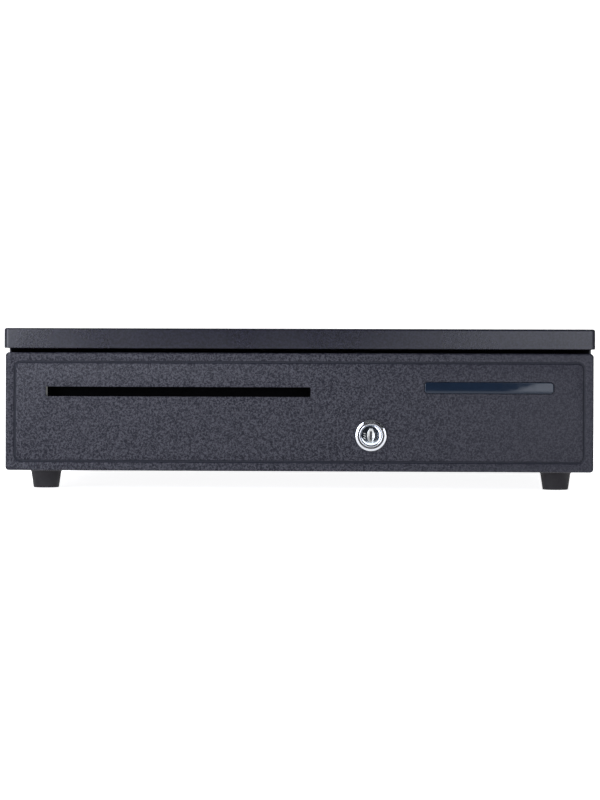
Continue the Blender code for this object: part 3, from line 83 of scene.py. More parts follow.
PICTURE_HEIGHT = 0.5540  # metres that the picture's height covers at the front's plane
PICTURE_MIDDLE = 0.0626  # height above the floor at the picture's centre
PICTURE_ACROSS = 0.0010  # the frame's X at the picture's centre
EYE_HEIGHT = 0.0811
EYE_DISTANCE = 1.9
YAW = math.radians(2.0)
ROLL = math.radians(0.19)
SENSOR = 36  # mm

camera_data = bpy.data.cameras.new("camera")
camera_data.sensor_width = SENSOR
camera_data.lens = SENSOR * EYE_DISTANCE / PICTURE_HEIGHT
camera_data.shift_y = (PICTURE_MIDDLE - EYE_HEIGHT) / PICTURE_HEIGHT
camera_data.clip_start = 0.05
camera_data.clip_end = 30
camera = bpy.data.objects.new("camera", camera_data)
camera.matrix_world = (
    Matrix.Translation((PICTURE_ACROSS, FACE_Y, EYE_HEIGHT))
    @ Matrix.Rotation(YAW, 4, "Z")
    @ Matrix.Translation((0, -EYE_DISTANCE, 0))
    @ Matrix.Rotation(-ROLL, 4, "Y")
    @ Matrix.Rotation(math.pi / 2, 4, "X")
)
bpy.context.scene.collection.objects.link(camera)
bpy.context.scene.camera = camera
bpy.context.scene.view_settings.view_transform = "Standard"

# ---------------------------------------------------------------- material tools


class Graph:
    """A Principled material and a short way to add nodes to it."""

    def __init__(self, name, colour, roughness, metallic=0.0, **sockets):
        self.material = bpy.data.materials.new(name)
        self.material.use_nodes = True
        self.tree = self.material.node_tree
        self.shader = self.tree.nodes["Principled BSDF"]
        self.shader.inputs["Base Color"].default_value = (*colour, 1)
        self.shader.inputs["Roughness"].default_value = roughness
        self.shader.inputs["Metallic"].default_value = metallic
        for socket, value in sockets.items():
            self.shader.inputs[socket.replace("_", " ")].default_value = value
        self.colour = colour
        self.coordinates = self.add("ShaderNodeTexCoord").outputs["Object"]

    def add(self, kind, **inputs):
        """A node with its named inputs given as numbers or as other nodes' sockets."""
        node = self.tree.nodes.new(kind)
        for name, value in inputs.items():
            self.give(node.inputs[name.replace("_", " ")], value)
        return node

    def give(self, socket, value):
        if isinstance(value, bpy.types.NodeSocket):
            self.tree.links.new(value, socket)
        else:
            socket.default_value = value

    def stretch(self, scale):
        """Object coordinates scaled by a different amount along each axis."""
        node = self.add("ShaderNodeMapping", Vector=self.coordinates)
        node.inputs["Scale"].default_value = scale
        return node.outputs["Vector"]

    def noise(self, size, detail=2.0, vector=None, distortion=0.0, roughness=0.5):
        """Noise whose features are about size metres across."""
        node = self.add(
            "ShaderNodeTexNoise",
            Vector=vector or self.coordinates,
            Scale=1 / size,
            Detail=detail,
            Distortion=distortion,
            Roughness=roughness,
        )
        return node.outputs["Fac"]

    def cells(self, size, feature="F1"):
        """Voronoi cells about size metres across."""
        node = self.add("ShaderNodeTexVoronoi", Vector=self.coordinates, Scale=1 / size)
        node.feature = feature
        return node.outputs["Distance"]

    def map(self, value, low, high, to_low, to_high):
        node = self.add("ShaderNodeMapRange", Value=value)
        for name, number in (("From Min", low), ("From Max", high), ("To Min", to_low), ("To Max", to_high)):
            node.inputs[name].default_value = number
        return node.outputs["Result"]

    def math(self, operation, a, b=0.0, c=0.0):
        node = self.add("ShaderNodeMath")
        node.operation = operation
        for socket, value in zip(node.inputs, (a, b, c)):
            self.give(socket, value)
        return node.outputs[0]

    def ramp(self, amount, dark, light):
        """Base colour from dark to light as amount goes from 0 to 1."""
        node = self.add("ShaderNodeValToRGB", Fac=amount)
        for element, colour in zip(node.color_ramp.elements, (dark, light)):
            element.color = (*colour, 1)
        self.tree.links.new(node.outputs["Color"], self.shader.inputs["Base Color"])

    def tint(self, amount, dark, light):
        """Base colour from dark to light times the material's own colour."""
        self.ramp(amount, [c * dark for c in self.colour], [c * light for c in self.colour])

    def rough(self, amount, low, high):
        """Roughness from low to high over the middle of a noise's range."""
        self.tree.links.new(self.map(amount, 0.3, 0.7, low, high), self.shader.inputs["Roughness"])

    def bump(self, height, distance, strength=1.0):
        node = self.add("ShaderNodeBump", Height=height, Distance=distance, Strength=strength)
        self.tree.links.new(node.outputs["Normal"], self.shader.inputs["Normal"])


def wrinkle_coat():
    """Black wrinkle powder coat: worm-like grains about 1 mm across, flatter towards the right-hand end."""
    g = Graph("wrinkle_powder_coat", (0.0150, 0.0150, 0.0245), 0.34, Specular_IOR_Level=0.15)
    grain = g.noise(0.0014, 3.0, distortion=0.7, roughness=0.65)
    sand = g.noise(0.0006, 2.0)
    height = g.math("MULTIPLY_ADD", sand, 0.45, grain)
    g.bump(height, 0.00035, 1.0)
    across = g.add("ShaderNodeSeparateXYZ", Vector=g.coordinates).outputs["X"]
    swing = g.map(across, 0.03, 0.17, 1.0, 0.45)
    centred = g.math("SUBTRACT", g.map(height, 0.65, 0.81, 0, 1), 0.5)
    speckle = g.math("MULTIPLY_ADD", centred, swing, 0.5)
    g.ramp(speckle, (0.0020, 0.0022, 0.0070), (0.0400, 0.0400, 0.0500))
    g.rough(g.noise(0.03, 2.0), 0.31, 0.37)
    return g.material


def groove_shade_coat():
    """The same coat, darker and rougher, for the bottom of the bead: the darker colour is painted shade in
    the bead's recess.
    """
    g = Graph("groove_painted_shade_coat", (0.010, 0.011, 0.017), 0.6, Specular_IOR_Level=0.25)
    grain = g.noise(0.0014, 2.0)
    g.bump(grain, 0.0002, 0.6)
    g.tint(grain, 0.5, 1.5)
    g.rough(g.noise(0.01, 2.0), 0.5, 0.7)
    return g.material


def satin_coat():
    """Smooth black powder coat with a faint orange peel."""
    g = Graph("satin_powder_coat", (0.007, 0.007, 0.013), 0.28, Specular_IOR_Level=0.34)
    g.bump(g.noise(0.0021, 2.0, roughness=0.6), 0.00005, 0.7)
    g.tint(g.map(g.noise(0.0014, 2.0), 0.35, 0.65, 0, 1), 0.5, 1.5)
    g.rough(g.noise(0.05, 3.0), 0.25, 0.31)
    return g.material


def case_coat():
    """The same powder coat on the case, drawer box and back, with a slightly coarser grain."""
    g = Graph("case_powder_coat", (0.022, 0.022, 0.030), 0.46, Specular_IOR_Level=0.45)
    grain = g.cells(0.0014, "SMOOTH_F1")
    g.bump(g.math("MULTIPLY_ADD", g.noise(0.0007, 2.0), 0.6, grain), 0.00022, 0.7)
    g.tint(g.map(g.noise(0.0012, 2.0), 0.3, 0.7, 0, 1), 0.78, 1.25)
    g.rough(g.noise(0.04, 3.0), 0.42, 0.54)
    return g.material


def moulded_plastic():
    """Spark-eroded ABS: an even matte grain with faint rubbed patches."""
    g = Graph("black_abs", (0.020, 0.020, 0.023), 0.5, Specular_IOR_Level=0.5)
    g.bump(g.math("MULTIPLY_ADD", g.noise(0.0003, 1.0), 0.4, g.cells(0.0009)), 0.00008, 0.7)
    g.tint(g.noise(0.02, 4.0), 0.85, 1.25)
    g.rough(g.noise(0.03, 4.0, roughness=0.6), 0.42, 0.58)
    return g.material


def painted_shade_black():
    """Near-black with a fine bump, for the inside of the note slot's hood: painted shade where the slot lies
    in deep shade.
    """
    g = Graph("slot_painted_shade_abs", (0.0010, 0.0010, 0.0014), 0.8, Specular_IOR_Level=0.05)
    shade_speckle = g.noise(0.0004, 3.0)
    g.bump(shade_speckle, 0.00010, 0.6)
    g.tint(shade_speckle, 0.5, 1.5)
    g.rough(g.noise(0.002, 2.0), 0.7, 0.9)
    return g.material


def rubber():
    """Moulded foot rubber with faint rings round it."""
    g = Graph("foot_rubber", (0.009, 0.008, 0.011), 0.62, Specular_IOR_Level=0.3)
    rings = g.noise(0.0012, 3.0, vector=g.stretch((1, 1, 4)))
    g.bump(g.math("MULTIPLY_ADD", g.noise(0.0004, 2.0), 0.5, rings), 0.00010, 0.8)
    g.tint(g.noise(0.004, 3.0), 0.75, 1.35)
    g.rough(g.noise(0.006, 3.0), 0.55, 0.72)
    return g.material


def zinc_plate(name, colour, roughness, along):
    """Plated steel with rolling marks along one axis and a cloudy passivated tone."""
    g = Graph(name, colour, roughness, 1.0)
    scale = [1.0, 1.0, 1.0]
    scale["XYZ".index(along)] = 0.04
    lines = g.noise(0.0006, 3.0, vector=g.stretch(scale))
    cloud = g.noise(0.012, 4.0, distortion=0.5)
    g.bump(lines, 0.00003, 0.5)
    g.tint(g.map(cloud, 0.35, 0.65, 0, 1), 0.78, 1.08)
    blend = g.math("MULTIPLY_ADD", lines, 0.4, g.math("MULTIPLY", cloud, 0.6))
    g.rough(blend, roughness - 0.06, roughness + 0.10)
    return g.material


def chrome():
    """Chrome plate with a slight haze."""
    g = Graph("chrome_plate", (0.60, 0.61, 0.64), 0.12, 1.0)
    haze = g.noise(0.002, 4.0)
    g.bump(g.noise(0.0015, 2.0), 0.000002, 0.4)
    g.tint(haze, 0.94, 1.05)
    g.rough(haze, 0.06, 0.12)
    return g.material


def plug_mirror():
    """The plug's darker nickel face with faint turning marks."""
    g = Graph("plug_nickel", (0.70, 0.77, 0.86), 0.06, 1.0)
    offset = g.add("ShaderNodeVectorMath", Vector=g.coordinates)
    offset.operation = "SUBTRACT"
    offset.inputs[1].default_value = LOCK
    rings = g.add("ShaderNodeTexWave", Vector=offset.outputs["Vector"], Scale=900.0, Distortion=0.6)
    rings.wave_type = "RINGS"
    rings.rings_direction = "Y"
    g.bump(rings.outputs["Fac"], 0.000001, 0.4)
    g.tint(g.noise(0.003, 3.0), 0.80, 1.12)
    g.rough(g.noise(0.002, 3.0), 0.05, 0.11)
    return g.material


def gloss_strip():
    """A dark glossy plastic strip with a slightly wavy surface."""
    g = Graph("gloss_navy", (0.006, 0.011, 0.021), 0.09, Specular_IOR_Level=0.28)
    g.bump(g.noise(0.010, 2.0), 0.00003, 0.3)
    g.tint(g.noise(0.012, 3.0), 0.85, 1.2)
    g.rough(g.noise(0.004, 4.0), 0.05, 0.12)
    return g.material


def nylon():
    """Off-white moulded nylon."""
    g = Graph("roller_nylon", (0.72, 0.71, 0.66), 0.42, Subsurface_Weight=0.12)
    g.shader.inputs["Subsurface Radius"].default_value = (0.002, 0.002, 0.0016)
    g.bump(g.noise(0.0006, 3.0), 0.00004, 0.6)
    g.tint(g.noise(0.004, 3.0), 0.90, 1.04)
    g.rough(g.noise(0.002, 3.0), 0.36, 0.50)
    return g.material


def winding():
    """The coil's lacquered copper wire under its clear tape, wound round X."""
    g = Graph("coil_winding", (0.50, 0.20, 0.06), 0.32, 0.6, Coat_Weight=0.5, Coat_Roughness=0.1)
    turns = g.add("ShaderNodeTexWave", Vector=g.coordinates, Scale=520.0, Distortion=0.4)
    turns.bands_direction = "X"
    g.bump(turns.outputs["Fac"], 0.00012, 0.8)
    cloud = g.math("MULTIPLY", g.noise(0.002), 0.5)
    g.tint(g.math("MULTIPLY_ADD", turns.outputs["Fac"], 0.5, cloud), 0.6, 1.2)
    g.rough(g.noise(0.003, 2.0), 0.26, 0.42)
    return g.material


def cable_jacket():
    """Dark grey PVC."""
    g = Graph("cable_jacket", (0.055, 0.055, 0.060), 0.5)
    g.bump(g.noise(0.0007, 3.0), 0.00006, 0.6)
    g.tint(g.noise(0.006, 3.0), 0.8, 1.3)
    g.rough(g.noise(0.004, 3.0), 0.42, 0.6)
    return g.material


def dark_cavity():
    """The unlit insides of the keyway and of the gap in the lock's ring."""
    g = Graph("keyway_dark", (0.006, 0.006, 0.008), 0.6)
    g.bump(g.noise(0.0005, 2.0), 0.00005, 0.5)
    g.tint(g.noise(0.001, 2.0), 0.7, 1.3)
    g.rough(g.noise(0.001, 2.0), 0.5, 0.7)
    return g.material


COAT = case_coat()
SATIN = satin_coat()
WRINKLE = wrinkle_coat()
GROOVE_SHADE = groove_shade_coat()
DEEP_SHADE = painted_shade_black()
PLASTIC = moulded_plastic()
RUBBER = rubber()
STEEL_Y = zinc_plate("zinc_plated_steel_lengthwise", (0.60, 0.61, 0.60), 0.33, "Y")
STEEL_X = zinc_plate("zinc_plated_steel_crosswise", (0.60, 0.61, 0.60), 0.33, "X")
BRIGHT = zinc_plate("bright_zinc", (0.72, 0.73, 0.75), 0.24, "Z")
CHROME = chrome()
NICKEL = plug_mirror()
GLOSS = gloss_strip()
NYLON = nylon()
WINDING = winding()
CABLE = cable_jacket()
CAVITY = dark_cavity()

# ---------------------------------------------------------------- mesh tools


def box_centre(name):
    low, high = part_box(name)
    return (low + high) / 2


def middle_of(corners):
    """The centre of a flat rectangle given by two corners."""
    return ((corners[0][0] + corners[1][0]) / 2, (corners[0][1] + corners[1][1]) / 2)


def on_axis(axis, u, v, along):
    """The point (u, v) of an outline drawn across axis, at a distance along it."""
    return {"X": (along, u, v), "Y": (u, along, v), "Z": (u, v, along)}[axis]


def box(x, y, z):
    """A block between pairs of coordinates."""
    made = bmesh.new()
    size = Matrix.Diagonal((x[1] - x[0], y[1] - y[0], z[1] - z[0], 1))
    middle = Matrix.Translation(((x[0] + x[1]) / 2, (y[0] + y[1]) / 2, (z[0] + z[1]) / 2))
    bmesh.ops.create_cube(made, size=1, matrix=middle @ size)
    return made


def lofted(rings, axis):
    """A closed skin over rings of (outline, distance along axis), with an n-gon at each end."""
    made = bmesh.new()
    loops = [[made.verts.new(on_axis(axis, u, v, along)) for u, v in outline] for outline, along in rings]
    for low, high in zip(loops, loops[1:]):
        for i in range(len(low)):
            j = (i + 1) % len(low)
            made.faces.new((low[i], low[j], high[j], high[i]))
    made.faces.new(loops[0])
    made.faces.new(loops[-1])
    bmesh.ops.recalc_face_normals(made, faces=made.faces)
    return made


def prism(outline, axis, low, high):
    return lofted([(outline, low), (outline, high)], axis)


def circle(radius, sides, centre):
    steps = (2 * math.pi * i / sides for i in range(sides))
    return [(centre[0] + radius * math.cos(a), centre[1] + radius * math.sin(a)) for a in steps]


def arc(centre, radius, start, end, steps):
    """Points on an arc from start to end, both in degrees and both included."""
    angles = (math.radians(start + (end - start) * i / steps) for i in range(steps + 1))
    return [(centre[0] + radius * math.cos(a), centre[1] + radius * math.sin(a)) for a in angles]


def rounded(width, height, radius, centre, steps=8):
    """The outline of a rectangle with round corners."""
    u, v = width / 2 - radius, height / 2 - radius
    corners = ((u, v, 0), (-u, v, 90), (-u, -v, 180), (u, -v, 270))
    return [
        point
        for cu, cv, start in corners
        for point in arc((centre[0] + cu, centre[1] + cv), radius, start, start + 90, steps)
    ]


def turned(profile, axis, at, sides=64, closed=False):
    """A turned piece about an axis through at. The profile's points are (radius, distance along)."""
    made = bmesh.new()
    verts = [made.verts.new(on_axis(axis, radius, 0, along)) for radius, along in profile]
    edges = [made.edges.new(pair) for pair in zip(verts, verts[1:])]
    if closed:
        edges.append(made.edges.new((verts[-1], verts[0])))
    bmesh.ops.spin(
        made,
        geom=verts + edges,
        cent=(0, 0, 0),
        axis=on_axis(axis, 0, 0, 1),
        angle=2 * math.pi,
        steps=sides,
        use_merge=True,
    )
    bmesh.ops.remove_doubles(made, verts=made.verts, dist=1e-6)
    bmesh.ops.recalc_face_normals(made, faces=made.faces)
    bmesh.ops.translate(made, verts=made.verts, vec=at)
    return made


def swept(path, radius, sides):
    """A round wire along a path of points, with flat ends."""
    made = bmesh.new()
    points = [Vector(p) for p in path]
    across = (points[1] - points[0]).orthogonal().normalized()
    loops = []
    for i, point in enumerate(points):
        ahead = points[min(i + 1, len(points) - 1)] - points[max(i - 1, 0)]
        ahead.normalize()
        across = (across - ahead * across.dot(ahead)).normalized()
        side = ahead.cross(across)
        turns = (2 * math.pi * k / sides for k in range(sides))
        spokes = (across * math.cos(a) + side * math.sin(a) for a in turns)
        loops.append([made.verts.new(point + radius * spoke) for spoke in spokes])
    for low, high in zip(loops, loops[1:]):
        for k in range(sides):
            j = (k + 1) % sides
            made.faces.new((low[k], low[j], high[j], high[k]))
    made.faces.new(loops[0])
    made.faces.new(loops[-1])
    bmesh.ops.recalc_face_normals(made, faces=made.faces)
    return made


def joined(*parts):
    """Several meshes in one."""
    made = bmesh.new()
    for part in parts:
        scratch = bpy.data.meshes.new("scratch")
        part.to_mesh(scratch)
        part.free()
        made.from_mesh(scratch)
        bpy.data.meshes.remove(scratch)
    return made


def piece(name, mesh, finish, body, replaces=(), bevel=0.0, segments=3, sharp=30):
    """One visual piece, drawn where it stands."""
    shape = bpy.data.meshes.new(name)
    mesh.to_mesh(shape)
    mesh.free()
    shape.materials.append(finish)
    shape.shade_smooth()
    shape.set_sharp_from_angle(angle=math.radians(sharp))
    made = bpy.data.objects.new(name, shape)
    bpy.context.scene.collection.objects.link(made)
    if bevel:
        add_bevel(made, bevel, segments)
    if body:
        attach(made, body)
    if replaces:
        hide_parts(*replaces)
    return made


def add_bevel(made, width, segments):
    modifier = made.modifiers.new("Bevel", "BEVEL")
    modifier.width = width
    modifier.segments = segments
    modifier.limit_method = "ANGLE"
    modifier.angle_limit = math.radians(35)


def carved(mesh, *cutters):
    """mesh with the cutters taken away, as a new bmesh."""
    whole = []
    for source in (mesh, *cutters):
        shape = bpy.data.meshes.new("carving")
        source.to_mesh(shape)
        source.free()
        made = bpy.data.objects.new("carving", shape)
        bpy.context.scene.collection.objects.link(made)
        whole.append(made)
    for cutter in whole[1:]:
        modifier = whole[0].modifiers.new("Cut", "BOOLEAN")
        modifier.operation = "DIFFERENCE"
        modifier.solver = "EXACT"
        modifier.object = cutter
    bpy.context.view_layer.update()
    evaluated = whole[0].evaluated_get(bpy.context.evaluated_depsgraph_get())
    result = bmesh.new()
    result.from_mesh(evaluated.to_mesh())
    for made in whole:
        shape = made.data
        bpy.data.objects.remove(made)
        bpy.data.meshes.remove(shape)
    return result


def finish_node(name, material, bevel=0.0):
    """A CAD node that stays: it gets its material, and soft edges where its shape allows."""
    node = NODES[name]
    node.data.materials.clear()
    node.data.materials.append(material)
    if bevel:
        weld = node.modifiers.new("Weld", "WELD")
        weld.merge_threshold = 0.00001
        add_bevel(node, bevel, 2)


# ---------------------------------------------------------------- cover


def cover():
    """The folded cover: a round top fold and a skirt whose edge shows the sheet's thickness."""
    low, high = COVER
    width, depth = high.x - low.x, high.y - low.y
    centre = middle_of(((low.x, low.y), (high.x, high.y)))
    sheet, fold, corner, least_corner = 0.0012, 0.0017, 0.0030, 0.0004
    edge = 0.0003  # rounding of the skirt's lower edge
    fillet = 0.0004

    def ring(inset, z):
        radius = max(corner - inset, least_corner)
        return rounded(width - 2 * inset, depth - 2 * inset, radius, centre), z

    rings = [ring(sheet + fillet, high.z - sheet), ring(sheet, high.z - sheet - fillet)]
    rings += [ring(sheet, low.z + edge), ring(sheet - edge, low.z), ring(edge, low.z), ring(0, low.z + edge)]
    for u, z in arc((fold, high.z - fold), fold, 180, 90, 8):
        rings.append(ring(u, z))
    piece("cover_skin", lofted(rings, "Z"), SATIN, "case", ["top_cover"], sharp=40)


# ---------------------------------------------------------------- drawer front


def front_shell():
    """The pressed front before its openings: a shallow pan with a sunk bead line near its edge."""
    low, high = FRONT
    width, height = high.x - low.x, high.z - low.z
    centre = middle_of(((low.x, low.z), (high.x, high.z)))
    back = high.y
    corner, least_corner, fold, sheet = 0.0024, 0.0002, 0.0014, 0.0015
    edge = 0.0003  # rounding of the folded side's rear edge
    bead, half_bead, sunk, bead_corner = 0.0066, 0.0011, 0.0008, 0.0042

    def ring(inset, radius, y):
        radius = max(radius, least_corner)
        return rounded(width - 2 * inset, height - 2 * inset, radius, centre), y

    rings = [ring(sheet, corner - sheet, FACE_Y + sheet), ring(sheet, corner - sheet, back - edge)]
    rings += [ring(sheet - edge, corner - sheet + edge, back), ring(edge, corner - edge, back)]
    rings.append(ring(0, corner, back - edge))
    for inset, y in arc((fold, FACE_Y + fold), fold, 180, 270, 8):
        rings.append(ring(inset, corner - inset, y))
    steps = 12
    for step in range(steps + 1):
        across = -1 + 2 * step / steps
        drop = sunk * (0.5 + 0.5 * math.cos(math.pi * across)) ** 0.8
        rings.append(ring(bead + across * half_bead, bead_corner - across * half_bead, FACE_Y + drop))
    return lofted(rings, "Y")


def opening(corners, radius, steps, depth):
    """A cutter for a round-cornered opening in the front, depth metres deep."""
    (left, bottom), (right, top) = corners
    outline = rounded(right - left, top - bottom, radius, middle_of(corners), steps)
    return prism(outline, "Y", FACE_Y - 0.002, FACE_Y + depth)


def drawer_front():
    """The front with its slot, the strip's pocket and the lock's hole, and a white lip at the slot's end as
    a painted highlight.
    """
    low, high = FRONT
    through, pocket_depth = 0.004, 0.0009
    slot = opening(SLOT, 0.0003, 3, through)
    pocket = opening(POCKET, 0.0026, 8, pocket_depth)
    bore = prism(circle(0.0096, 48, (LOCK.x, LOCK.z)), "Y", FACE_Y - 0.002, FACE_Y + through)
    shape = carved(front_shell(), slot, pocket, bore)
    # Faces in the bottom of the bead get the second material, whose darker colour is painted shade in the
    # bead's recess.
    for side in shape.faces:
        at = side.calc_center_median()
        inset = min(at.x - low.x, high.x - at.x, at.z - low.z, high.z - at.z)
        if 0.003 < inset < 0.011 and FACE_Y + 0.00012 < at.y < FACE_Y + 0.001:
            side.material_index = 1
    skin = piece("drawer_front_skin", shape, WRINKLE, "drawer", ["front_panel"], 0.00022, 2, 40)
    skin.data.materials.append(GROOVE_SHADE)
    (slot_left, slot_bottom), (_, slot_top) = SLOT
    # A white nylon lip at the slot's left end: a painted highlight for the coated lip where it catches
    # light.
    lip = box((slot_left - 0.0005, slot_left), (FACE_Y + 0.0012, FACE_Y + 0.0105), (slot_bottom, slot_top))
    piece("slot_end_lip_painted_highlight", lip, NYLON, "drawer", (), 0.00015, 2)


def name_strip():
    """The blank strip: a bar with a rounded edge, leaning back a little at the top."""
    low, high = PLATE
    centre = middle_of(((low.x, low.z), (high.x, high.z)))
    overlap, corner, lean = 0.0012, 0.0023, 0.026
    width, height = high.x - low.x + overlap, high.z - low.z + overlap
    back, front = FACE_Y + 0.0008, FACE_Y - 0.0002
    edge_across, edge_deep = 0.0007, 0.0006
    rings = [(rounded(width, height, corner, centre), back)]
    for across, deep in arc((1, 1), 1, 180, 270, 6):
        inset = edge_across * across
        outline = rounded(width - 2 * inset, height - 2 * inset, corner - inset, centre)
        rings.append((outline, front + edge_deep * deep))
    strip = lofted(rings, "Y")
    for vert in strip.verts:
        vert.co.y += lean * (vert.co.z - centre[1])
    piece("name_strip", strip, GLOSS, "drawer", ["name_plate"], sharp=50)


# ---------------------------------------------------------------- lock

LOCK_BORE = 0.0074
LOCK_LENGTH = 0.024
LOCK_TIP = -0.0027  # the ring's foremost point, measured from the front's face
RING_RADIUS = 0.0111
RING_CREST = RING_RADIUS - 0.0017  # inner edge of the ring's cone
PLUG_FACE = LOCK_TIP + 0.0012


def lock_body():
    """The threaded barrel and its ring: a thin inner lip, a gap, then a cone with a round shoulder."""
    barrel, thread_depth, pitch, thread_start = 0.0093, 0.00035, 0.0010, 0.0015
    lip, gap_floor = 0.0004, LOCK_TIP + 0.0011
    profile = [(LOCK_BORE, LOCK_TIP + 0.0022), (LOCK_BORE, LOCK_TIP + lip)]
    profile += arc((LOCK_BORE + lip, LOCK_TIP + lip), lip, 180, 350, 8)
    profile += [(LOCK_BORE + 0.0009, gap_floor), (RING_CREST - 0.0001, gap_floor)]
    shoulder = RING_RADIUS - 0.0009
    profile += [(RING_CREST, LOCK_TIP + 0.0006), (shoulder, LOCK_TIP + 0.0009)]
    curve = 0.00118
    profile += arc((shoulder - 0.00028, LOCK_TIP + 0.00203), curve, -63, 0, 7)
    profile += [(RING_RADIUS, -0.0002), (barrel, -0.0002)]
    for turn in range(22):
        y = thread_start + turn * pitch
        profile += [(barrel, y), (barrel - thread_depth, y + pitch / 2)]
    profile += [(barrel - 0.0004, LOCK_LENGTH), (LOCK_BORE, LOCK_LENGTH)]
    body = turned(profile, "Y", LOCK, 96, closed=True)
    piece("lock_body_skin", body, CHROME, "drawer", ["lock_body"], sharp=35)
    # A dark annulus in the gap between the ring's lip and cone: painted shade where the gap is in shadow.
    inner, outer = LOCK_BORE + 0.00095, RING_CREST - 0.00015
    front, back = LOCK_TIP + 0.0007, LOCK_TIP + 0.0010
    gap = turned([(inner, front), (outer, front), (outer, back), (inner, back)], "Y", LOCK, 96, closed=True)
    piece("lock_ring_gap_painted_shade", gap, CAVITY, "drawer", ())


def around_lock(outline, grow=1.0):
    return [(LOCK.x + grow * u, LOCK.z + grow * v) for u, v in outline]


def keyway_outline(half_width, half_height, shoulder, end):
    """An upright outline of eight points, narrowing from the shoulders to its top and bottom ends."""
    right = [(end, half_height), (half_width, shoulder), (half_width, -shoulder), (end, -half_height)]
    return right + [(-u, v) for u, v in reversed(right)]


def lock_plug():
    """The plug's slightly domed face, leaning back, with its funnel-shaped keyway and three ticks."""
    plug, dome, lean = 0.0071, 0.00020, 0.045
    stud, stud_end = 0.0030, 0.0269
    radii = (0, 0.0012, 0.0024, 0.0036, 0.0048, 0.0058, 0.0066)
    profile = [(r, PLUG_FACE + dome * (r / plug) ** 2) for r in radii]
    profile += [(plug - 0.0002, PLUG_FACE + 0.00024), (plug, PLUG_FACE + 0.0005)]
    profile += [(plug, LOCK_LENGTH + 0.0003), (stud, LOCK_LENGTH + 0.0003), (stud, stud_end), (0, stud_end)]
    body = turned(profile, "Y", LOCK, 96)
    for vert in body.verts:
        if vert.co.y < LOCK.y:
            vert.co.y += lean * (vert.co.z - LOCK.z)
    mouth = keyway_outline(0.0027, 0.0048, 0.0011, 0.0010)
    throat = keyway_outline(0.0008, 0.0028, 0.0010, 0.0008)
    level = LOCK.y + PLUG_FACE
    collar_room = prism(around_lock(mouth, 1.02), "Y", level - 0.001, level + 0.0019)
    keyway = prism(around_lock(throat), "Y", LOCK.y - 0.004, LOCK.y + 0.014)
    shape = carved(body, collar_room, keyway)
    piece("lock_plug_skin", shape, NICKEL, "lock", ["lock_plug"], 0.00010, 2, 35)

    funnel = lofted(
        [
            (around_lock(throat), level + 0.0018),
            (around_lock(mouth), level + 0.0018),
            (around_lock(mouth), level - 0.0001),
            (around_lock(mouth, 0.93), level - 0.0002),
            (around_lock(throat), level + 0.0006),
            (around_lock(throat), level + 0.0017),
        ],
        "Y",
    )
    piece("keyway_collar", funnel, STEEL_Y, "lock", (), 0.00010, 2, 25)
    # A dark block inside the keyway: painted shade standing in for the unlit depth of the keyway.
    keyway_shade = prism(around_lock(throat, 0.985), "Y", level + 0.00065, level + 0.0125)
    piece("keyway_painted_shade", keyway_shade, CAVITY, "lock", ())
    ticks = []
    for height in (-0.0019, -0.0003, 0.0013):
        place = Matrix.Translation((LOCK.x - 0.0045, level, LOCK.z + height))
        tick = box((-0.0008, 0.0008), (-0.00012, 0.0004), (-0.00022, 0.00022))
        bmesh.ops.transform(tick, matrix=place @ Matrix.Rotation(0.5, 4, "Y"), verts=tick.verts)
        ticks.append(tick)
    piece("lock_tick_marks", joined(*ticks), STEEL_Y, "lock", (), 0.00005, 1)


# ---------------------------------------------------------------- feet


def feet():
    """Tapered push-in feet: a hollow under each, a neck through the floor and a barbed head."""
    bottom, sole_edge, neck, head = 0.0090, 0.0007, 0.0028, 0.0046
    under_floor = FRONT[0].z - 0.0003
    above_floor = under_floor + 0.0018
    sole = [(0, 0.0040), (0.0046, 0.0040), (0.0050, 0.0036), (0.0054, 0.0004), (0.0058, 0)]
    sole += arc((bottom - sole_edge, sole_edge), sole_edge, 270, 350, 6)
    tip = above_floor + 0.0030
    barb = [(neck, under_floor), (neck, above_floor), (head, above_floor)]
    barb += [(head - 0.0002, above_floor + 0.0008), (0.0026, tip), (0, tip)]
    for end in ("front", "rear"):
        for side in ("left", "right"):
            name = f"foot_{end}_{side}"
            low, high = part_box(name)
            top, z = (high.x - low.x) / 2, under_floor
            rim = [(top - 0.0006, z - 0.0014), (top - 0.0002, z - 0.0011), (top, z - 0.0007)]
            rim += [(top, z - 0.0003), (top - 0.0003, z)]
            centre = (*middle_of(((low.x, low.y), (high.x, high.y))), 0)
            foot = turned(sole + rim + barb, "Z", centre)
            piece(f"{name}_rubber", foot, RUBBER, "case", [name], sharp=40)


# ---------------------------------------------------------------- screws and rivets


def screw_head(at, facing, radius=0.0032, height=0.0015, cross=True):
    """A pan head, with a cross recess unless it is a rivet. facing is its axis and sign, such as +Y."""
    sign, axis = (1 if facing[0] == "+" else -1), facing[1]
    rim = 0.3  # the straight part of the head's height
    profile = [(0, 0), (radius, 0), (radius, rim * height)]
    for u, v in arc((0, 0), 1, 0, 90, 6)[1:-1]:
        profile.append((radius * u, height * (rim + (1 - rim) * v)))
    profile.append((0, height))
    head = turned([(r, sign * d) for r, d in profile], axis, at, 32)
    if not cross:
        return head
    long_half, short_half = 0.62 * radius, 0.13 * radius
    cutters = []
    for half_u, half_v in ((long_half, short_half), (short_half, long_half)):
        low = on_axis(axis, -half_u, -half_v, sign * 0.35 * height)
        high = on_axis(axis, half_u, half_v, sign * 2 * height)
        spans = [sorted((a + c, b + c)) for a, b, c in zip(low, high, at)]
        cutters.append(box(*spans))
    return carved(head, *cutters)


